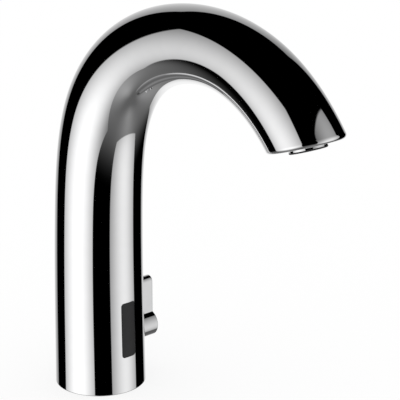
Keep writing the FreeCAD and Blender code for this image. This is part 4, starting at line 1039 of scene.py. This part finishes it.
@dataclass
class MixingLever:
    """The side lever: a round hub with an upright bar, flush with the hub's end. Millimetres."""

    axis_height: float = 24.1
    hub_radius: float = 7.6
    hub_cap: float = 4.5
    socket_radius: float = 3.05
    blade_thickness: float = 6.2
    blade_width: float = 9.0
    blade_top: float = 52.2
    edge: float = 0.35
    edge_steps: int = 6
    grub_radius: float = 2.05
    grub_start: float = -10.5
    grub_length: float = 8.6
    bore_clearance: float = 0.68
    bore_start: float = 15.0
    bore_length: float = 14.0
    hub_segments: int = 160
    top_steps: int = 24
    hole_segments: int = 48

    def axis(self, along: float = 0.0) -> Matrix:
        """The hub's frame: +Z out along the lever's axis, from a place on it."""
        place = Matrix.Translation(Vector((0.0, along, self.axis_height)) * MM)
        return place @ Matrix.Rotation(-math.pi / 2, 4, "X")

    def ends(self) -> tuple[float, float]:
        """Where the hub starts and ends along Y."""
        low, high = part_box("mixing_lever")
        return low.y / MM, high.y / MM

    def bore(self) -> bpy.types.Object:
        """The solid that cuts the hub's opening into the shell.

        Returns:
            The solid.
        """
        radius = self.hub_radius + self.bore_clearance
        profile = [(0.0, 0.0), (radius, 0.0), (radius, self.bore_length), (0.0, self.bore_length)]
        return turned("lever_bore", profile, self.hub_segments, self.axis(self.bore_start))

    def hub(self) -> bpy.types.Object:
        """Turns the hub with its socket and its rounded end.

        Returns:
            The hub.
        """
        start, end = self.ends()
        radius, lead = self.hub_radius, self.edge / 2
        profile = [(self.socket_radius, start), (radius - lead, start), (radius, start + lead)]
        profile += [(radius, end - self.edge - lead)]
        profile += corner((radius - self.edge, end - self.edge), self.edge, 0.0, 90.0, self.edge_steps)
        profile += [(radius - self.edge - lead, end), (0.0, end), (0.0, end - self.hub_cap),
                    (self.socket_radius, end - self.hub_cap)]
        return turned("mixing_lever_dressed", profile, self.hub_segments, self.axis())

    def blade(self) -> bpy.types.Object:
        """Builds the bar from loops along Y; its top is a half round, its outer rim is rounded.

        Returns:
            The bar.
        """
        end = self.ends()[1]
        start = end - self.blade_width
        half = self.blade_thickness / 2
        rim = corner((self.edge, end - self.edge), self.edge, 180.0, 90.0, self.edge_steps)
        loops = [(0.0, start), (0.0, end - 2 * self.edge), *rim, (2 * self.edge, end)]
        points = []
        for inset, y in loops:
            outline = corner((0.0, self.blade_top - half), half - inset, 0.0, 180.0,
                             self.top_steps)
            outline = [(half - inset, self.axis_height), *outline, (inset - half, self.axis_height)]
            points += [(x * MM, y * MM, z * MM) for x, z in outline]
        count = len(points) // len(loops)
        faces = [tuple(range(count)), tuple(reversed(range(len(points) - count, len(points))))]
        for row in range(len(loops) - 1):
            a, b = row * count, (row + 1) * count
            faces += [(a + (k + 1) % count, a + k, b + k, b + (k + 1) % count) for k in range(count)]
        return mesh_object("mixing_lever_bar", np.array(points), faces)

    def build(self) -> bpy.types.Object:
        """Joins hub and bar and drills the grub screw's hole.

        Returns:
            The lever.
        """
        lever = self.hub()
        combine(lever, [self.blade()], "UNION")
        low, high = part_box("lever_screw")
        middle = (low + high) / 2
        place = Matrix.Translation((self.grub_start * MM, middle.y, middle.z))
        place = place @ Matrix.Rotation(math.pi / 2, 4, "Y")
        profile = [(0.0, 0.0), (self.grub_radius, 0.0), (self.grub_radius, self.grub_length),
                   (0.0, self.grub_length)]
        combine(lever, [turned("grub_hole", profile, self.hole_segments, place)], "DIFFERENCE")
        soften(lever)
        return lever

    def mount(self) -> None:
        """Builds and dresses the lever."""
        # The lever wears the darker copy of the chrome: painted shade on its reflections.
        dress(self.build(), Slot.CHROME, Body.MIXING, ("mixing_lever",), SHADED_LEVER_CHROME)


@dataclass
class AeratorRing:
    """The chromed ring in the outlet, with the lip that holds the flow former. Millimetres."""

    outlet: Outlet
    radius: float = 9.4
    proud: float = 2.1
    inside: float = 9.0
    wall: float = 1.2
    lip: float = 1.1
    lip_height: float = 1.0
    edge: float = 0.5
    lip_edge: float = 0.2
    # How far back from the ring's front the painted shade band reaches.
    painted_shade_height: float = 0.8
    segments: int = 192
    edge_steps: int = 6
    lip_steps: int = 4

    def build(self) -> bpy.types.Object:
        """Turns the ring in the outlet's frame.

        Returns:
            The ring.
        """
        bore = self.radius - self.wall
        mouth = bore - self.lip
        shade = self.proud - self.painted_shade_height
        profile = [(self.radius, -self.inside), (self.radius, shade)]
        profile += corner((self.radius - self.edge, self.proud - self.edge), self.edge, 0.0, 90.0,
                          self.edge_steps)
        profile += corner((mouth + self.lip_edge, self.proud - self.lip_edge), self.lip_edge, 90.0, 180.0,
                          self.lip_steps)
        profile += [(mouth, self.proud - self.lip_height), (bore, self.proud - self.lip_height),
                    (bore, -self.inside)]
        ring = turned("aerator_ring", profile, self.segments, self.outlet.place())
        soften(ring)
        return ring

    def paint_lip_shade(self, ring: bpy.types.Object) -> None:
        """Paints a dark band on the ring's outer lip in the black rubber finish: painted shade on a ring
        that is chrome all through.

        Args:
            ring: The dressed ring.
        """
        ring.data.materials.append(FINISHES[Slot.RUBBER].material())
        normal, centre = self.outlet.normal(), Vector(self.outlet.centre_mm) * MM
        limit = (self.proud - self.painted_shade_height) * MM
        # Faces in front of the band's limit take the black rubber finish: painted shade, not a rubber part.
        for face in ring.data.polygons:
            if (face.center - centre).dot(normal) > limit:
                face.material_index = 1

    def mount(self) -> None:
        """Builds and dresses the ring, and paints the shade on its lip."""
        ring = self.build()
        dress(ring, Slot.CHROME, Body.TAP, ("aerator_housing",))
        self.paint_lip_shade(ring)


@dataclass
class CoilSpring:
    """A helical spring in place of a sleeve of the frame. Millimetres."""

    node: str
    joint: str
    wire: float
    turns: float
    travel: float

    @staticmethod
    def winding(turn_steps: int = 32, wire_steps: int = 12) -> ShapeTree:
        """Builds the node tree that winds a wire.

        Args:
            turn_steps: The number of steps in a turn.
            wire_steps: The number of steps round the wire.

        Returns:
            The tree, with the spring's sizes as its inputs.
        """
        tree = ShapeTree("wound_wire", {"Float": ("Coil Radius", "Wire Radius", "Height", "Turns")})
        radius = tree.value("Coil Radius")
        line = tree.node("GeometryNodeCurveSpiral", Resolution=turn_steps, Start_Radius=radius,
                         End_Radius=radius, Height=tree.value("Height"), Rotations=tree.value("Turns"))
        wire = tree.node("GeometryNodeCurvePrimitiveCircle", Resolution=wire_steps,
                         Radius=tree.value("Wire Radius"))
        wound = tree.node("GeometryNodeCurveToMesh", Curve=line.outputs["Curve"],
                          Profile_Curve=wire.outputs["Curve"], Fill_Caps=True)
        tree.close(wound.outputs["Mesh"])
        return tree

    def mount(self, tree: ShapeTree) -> None:
        """Winds the spring inside its sleeve's box and dresses it.

        Args:
            tree: The node tree that winds it.
        """
        low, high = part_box(self.node)
        wire, height, middle = self.wire * MM / 2, high.z - low.z, (low + high) / 2
        name = self.node + "_coil"
        spring = link_object(name, bpy.data.meshes.new(name))
        tree.shape(spring, {
            "Coil Radius": (high.x - low.x) / 2 - wire,
            "Wire Radius": wire,
            "Height": height - 2 * wire,
            "Turns": self.turns,
            "Finish": FINISHES[Slot.STEEL].material(),
        })
        spring.data.transform(Matrix.Translation((middle.x, middle.y, low.z + wire)))
        soften(spring)
        dress(spring, Slot.STEEL, Body.TAP, (self.node,))
        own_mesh(spring)


SPRINGS = (
    CoilSpring("hot_check_spring", "hot_poppet_lift", wire=0.4, turns=4.5, travel=1.2),
    CoilSpring("cold_check_spring", "cold_poppet_lift", wire=0.4, turns=4.5, travel=1.2),
    CoilSpring("plunger_spring", "plunger_lift", wire=0.5, turns=7.5, travel=1.8),
)


# ---- the studio ------------------------------------------------------------------------------


LEAST_FACING = 0.02
PANEL_FACING = (0.05, 0.12)
POOL_FACING = (0.0, 0.2)


@dataclass(frozen=True)
class LightPanel:
    """A tall soft box that the polished skin mirrors. Sizes are shares of its distance.

    Its outline's edges may lean. Its brightness peaks at the hot spot, and it casts a pool of
    light on the ground, which the skin mirrors too.
    """

    azimuth: float
    left: float
    right: float
    bottom: float
    top: float
    hot_across: float
    hot_up: float
    brightness: float
    falloff: float
    squash: float
    lean_left: float = 0.0
    lean_right: float = 0.0
    lean_bottom: float = 0.0
    lean_top: float = 0.0
    blur: float = 0.025
    pool: float = 0.14
    pool_across: float = 0.05
    pool_falloff: float = 4.0

    def shine(self, look: Arrow) -> tuple[Number, Number, Number]:
        """The panel as it is seen in a direction.

        Args:
            look: The direction.

        Returns:
            Its brightness, its outline as a mask, and the pool that it casts on the ground.
        """
        angle = math.radians(self.azimuth)
        facing = look.dot((math.cos(angle), math.sin(angle), 0.0))
        ahead = facing.most(LEAST_FACING)
        across = look.dot((-math.sin(angle), math.cos(angle), 0.0)) / ahead
        up = look.dot((0.0, 0.0, 1.0)) / ahead
        mask = (across - (up * self.lean_left + self.left)).rise(-self.blur, self.blur)
        mask = mask * (across - (up * self.lean_right + self.right)).rise(self.blur, -self.blur)
        mask = mask * (up - (across * self.lean_bottom + self.bottom)).rise(-self.blur, self.blur)
        mask = mask * (up - (across * self.lean_top + self.top)).rise(self.blur, -self.blur)
        mask = mask * facing.rise(*PANEL_FACING)
        off_across = across - self.hot_across
        off_up = (up - self.hot_up) * self.squash
        reach = off_across * off_across + off_up * off_up
        glow = (reach * self.falloff + 1.0) ** -1.0 * self.brightness
        off_pool = across - self.pool_across
        pool = (off_pool * off_pool * self.pool_falloff + 1.0) ** -1.0 * facing.rise(*POOL_FACING)
        pool = pool * self.pool
        return glow, mask, pool


@dataclass
class Studio:
    """The plain white studio: what the skin mirrors, what lights the pieces, and the floor."""

    panels: tuple[LightPanel, ...] = (
        LightPanel(azimuth=-100.0, left=-0.91, right=0.79, bottom=-1.53, top=0.9, hot_across=0.054,
                   hot_up=-0.402, brightness=1.208, falloff=1.4, squash=0.909, lean_left=-0.1,
                   lean_right=-0.33, lean_bottom=-0.3, pool=0.24, pool_across=-0.23),
        LightPanel(azimuth=26.0, left=-0.88, right=0.73, bottom=-1.155, top=1.21, hot_across=0.033,
                   hot_up=-0.472, brightness=0.889, falloff=2.164, squash=0.577, lean_left=-0.25,
                   lean_right=0.02, lean_bottom=0.04, lean_top=-0.25),
        LightPanel(azimuth=140.0, left=-0.69, right=0.7, bottom=-1.0, top=0.84, hot_across=-0.014,
                   hot_up=-0.564, brightness=0.958, falloff=3.171, squash=0.578, lean_left=-0.09,
                   lean_right=-0.35, pool=0.155, pool_across=-0.18),
    )
    ground_level: float = 0.116
    ground_fade: tuple[float, float] = (0.42, 0.94)
    pool_near: tuple[float, float] = (0.03, 0.38)
    pool_fade: tuple[float, float] = (0.42, 0.75)
    floor_size: float = 12.0
    floor_glow: float = 0.8
    camera_azimuth: float = 46.7126
    camera_elevation: float = 17.7303
    camera_distance: float = 0.893915
    aim_across: float = 0.0553015
    aim_up: float = 0.1042279
    focal_px: float = 1658.813
    frame_px: float = 400.0
    sensor_mm: float = 36.0
    clip: tuple[float, float] = (0.05, 50.0)

    def world(self) -> None:
        """Builds the world: white to the camera, panels to the skin, even light to the rest."""
        world = bpy.data.worlds.new("studio")
        bpy.context.scene.world = world
        world.use_nodes = True
        world.cycles.sampling_method = "NONE"
        tree = world.node_tree
        place = tree.nodes.new("ShaderNodeTexCoord")
        look = Arrow(tree, place.outputs["Generated"]).unit()
        down = look.parts()[2] * -1.0
        side = (1.0 - down * down).most(0.0) ** 0.5
        ground = down.rise(*self.ground_fade) * self.ground_level
        near = side.rise(*self.pool_near) * down.rise(*self.pool_fade)
        lit = covered = None
        for panel in self.panels:
            glow, mask, pool = panel.shine(look)
            ground = ground + pool * near
            lit = glow * mask if lit is None else lit + glow * mask
            covered = mask if covered is None else covered.most(mask)
        ground = ground * (1.0 - covered)
        mirrored = lit + ground
        path = tree.nodes.new("ShaderNodeLightPath")
        camera = Number(tree, path.outputs["Is Camera Ray"])
        mirror = Number(tree, path.outputs["Is Glossy Ray"]).most(
            Number(tree, path.outputs["Is Transmission Ray"]))
        strength = mirror.mixed(1.0, mirrored)
        strength = camera.mixed(strength, 1.0)
        backdrop = tree.nodes["Background"]
        backdrop.inputs["Color"].default_value = (1.0, 1.0, 1.0, 1.0)
        connect(tree, strength, backdrop.inputs["Strength"])

    def floor(self) -> None:
        """Lays the pale floor, which keeps the tap's soft shadow."""
        half = self.floor_size / 2
        points = np.array([(-half, -half, 0.0), (half, -half, 0.0), (half, half, 0.0), (-half, half, 0.0)])
        floor = mesh_object("studio_floor", points, [(0, 1, 2, 3)])
        material = bpy.data.materials.new("pale_floor")
        material.use_nodes = True
        tree = material.node_tree
        shader = tree.nodes["Principled BSDF"]
        shader.inputs["Roughness"].default_value = 1.0
        shader.inputs["Specular IOR Level"].default_value = 0.0
        shader.inputs["Emission Color"].default_value = (1.0, 1.0, 1.0, 1.0)
        seen = Number(tree, tree.nodes.new("ShaderNodeLightPath").outputs["Is Camera Ray"])
        connect(tree, seen * self.floor_glow, shader.inputs["Emission Strength"])
        connect(tree, seen.mixed(1.0, 1.0 - self.floor_glow), shader.inputs["Base Color"])
        floor.data.materials.append(material)
        floor.visible_glossy = False
        floor.visible_transmission = False

    def camera(self) -> None:
        """Stands the camera where the photograph was taken from."""
        azimuth, elevation = math.radians(self.camera_azimuth), math.radians(self.camera_elevation)
        right = Vector((math.cos(azimuth), math.sin(azimuth), 0.0))
        into = Vector((-math.sin(azimuth), math.cos(azimuth), 0.0))
        ahead = into * math.cos(elevation) - Vector((0.0, 0.0, math.sin(elevation)))
        data = bpy.data.cameras.new("camera")
        data.sensor_width = self.sensor_mm
        data.lens = self.focal_px / self.frame_px * self.sensor_mm
        data.clip_start, data.clip_end = self.clip
        camera = bpy.data.objects.new("camera", data)
        bpy.context.scene.collection.objects.link(camera)
        camera.rotation_mode = "QUATERNION"
        camera.rotation_quaternion = ahead.to_track_quat("-Z", "Y")
        aim = right * self.aim_across + Vector((0.0, 0.0, self.aim_up))
        camera.location = aim - ahead * self.camera_distance
        bpy.context.scene.camera = camera

    def build(self) -> None:
        """Sets up the world, the floor, the camera and plain colours."""
        self.world()
        self.floor()
        self.camera()
        bpy.context.scene.view_settings.view_transform = "Standard"


def dress_frame() -> None:
    """Gives each solid of the frame the finish of its slot."""
    slots = {part["node"]: Slot(part["material_slot"]) for part in frame["record"]["subparts"]}
    for name, node in frame["nodes"].items():
        node.data.materials.clear()
        node.data.materials.append(FINISHES[slots[name]].material())


def main() -> None:
    """Builds the tap and its studio."""
    logging.basicConfig(level=logging.INFO)
    dress_frame()
    outlet = Outlet()
    shell = SpoutShell(outlet)
    window = SensorWindow(shell)
    lever = MixingLever()
    shell.mount([window.opening(), lever.bore()])
    window.mount()
    lever.mount()
    AeratorRing(outlet).mount()
    winding = CoilSpring.winding()
    for spring in SPRINGS:
        spring.mount(winding)
    Studio().build()


if __name__ == "__main__":
    main()
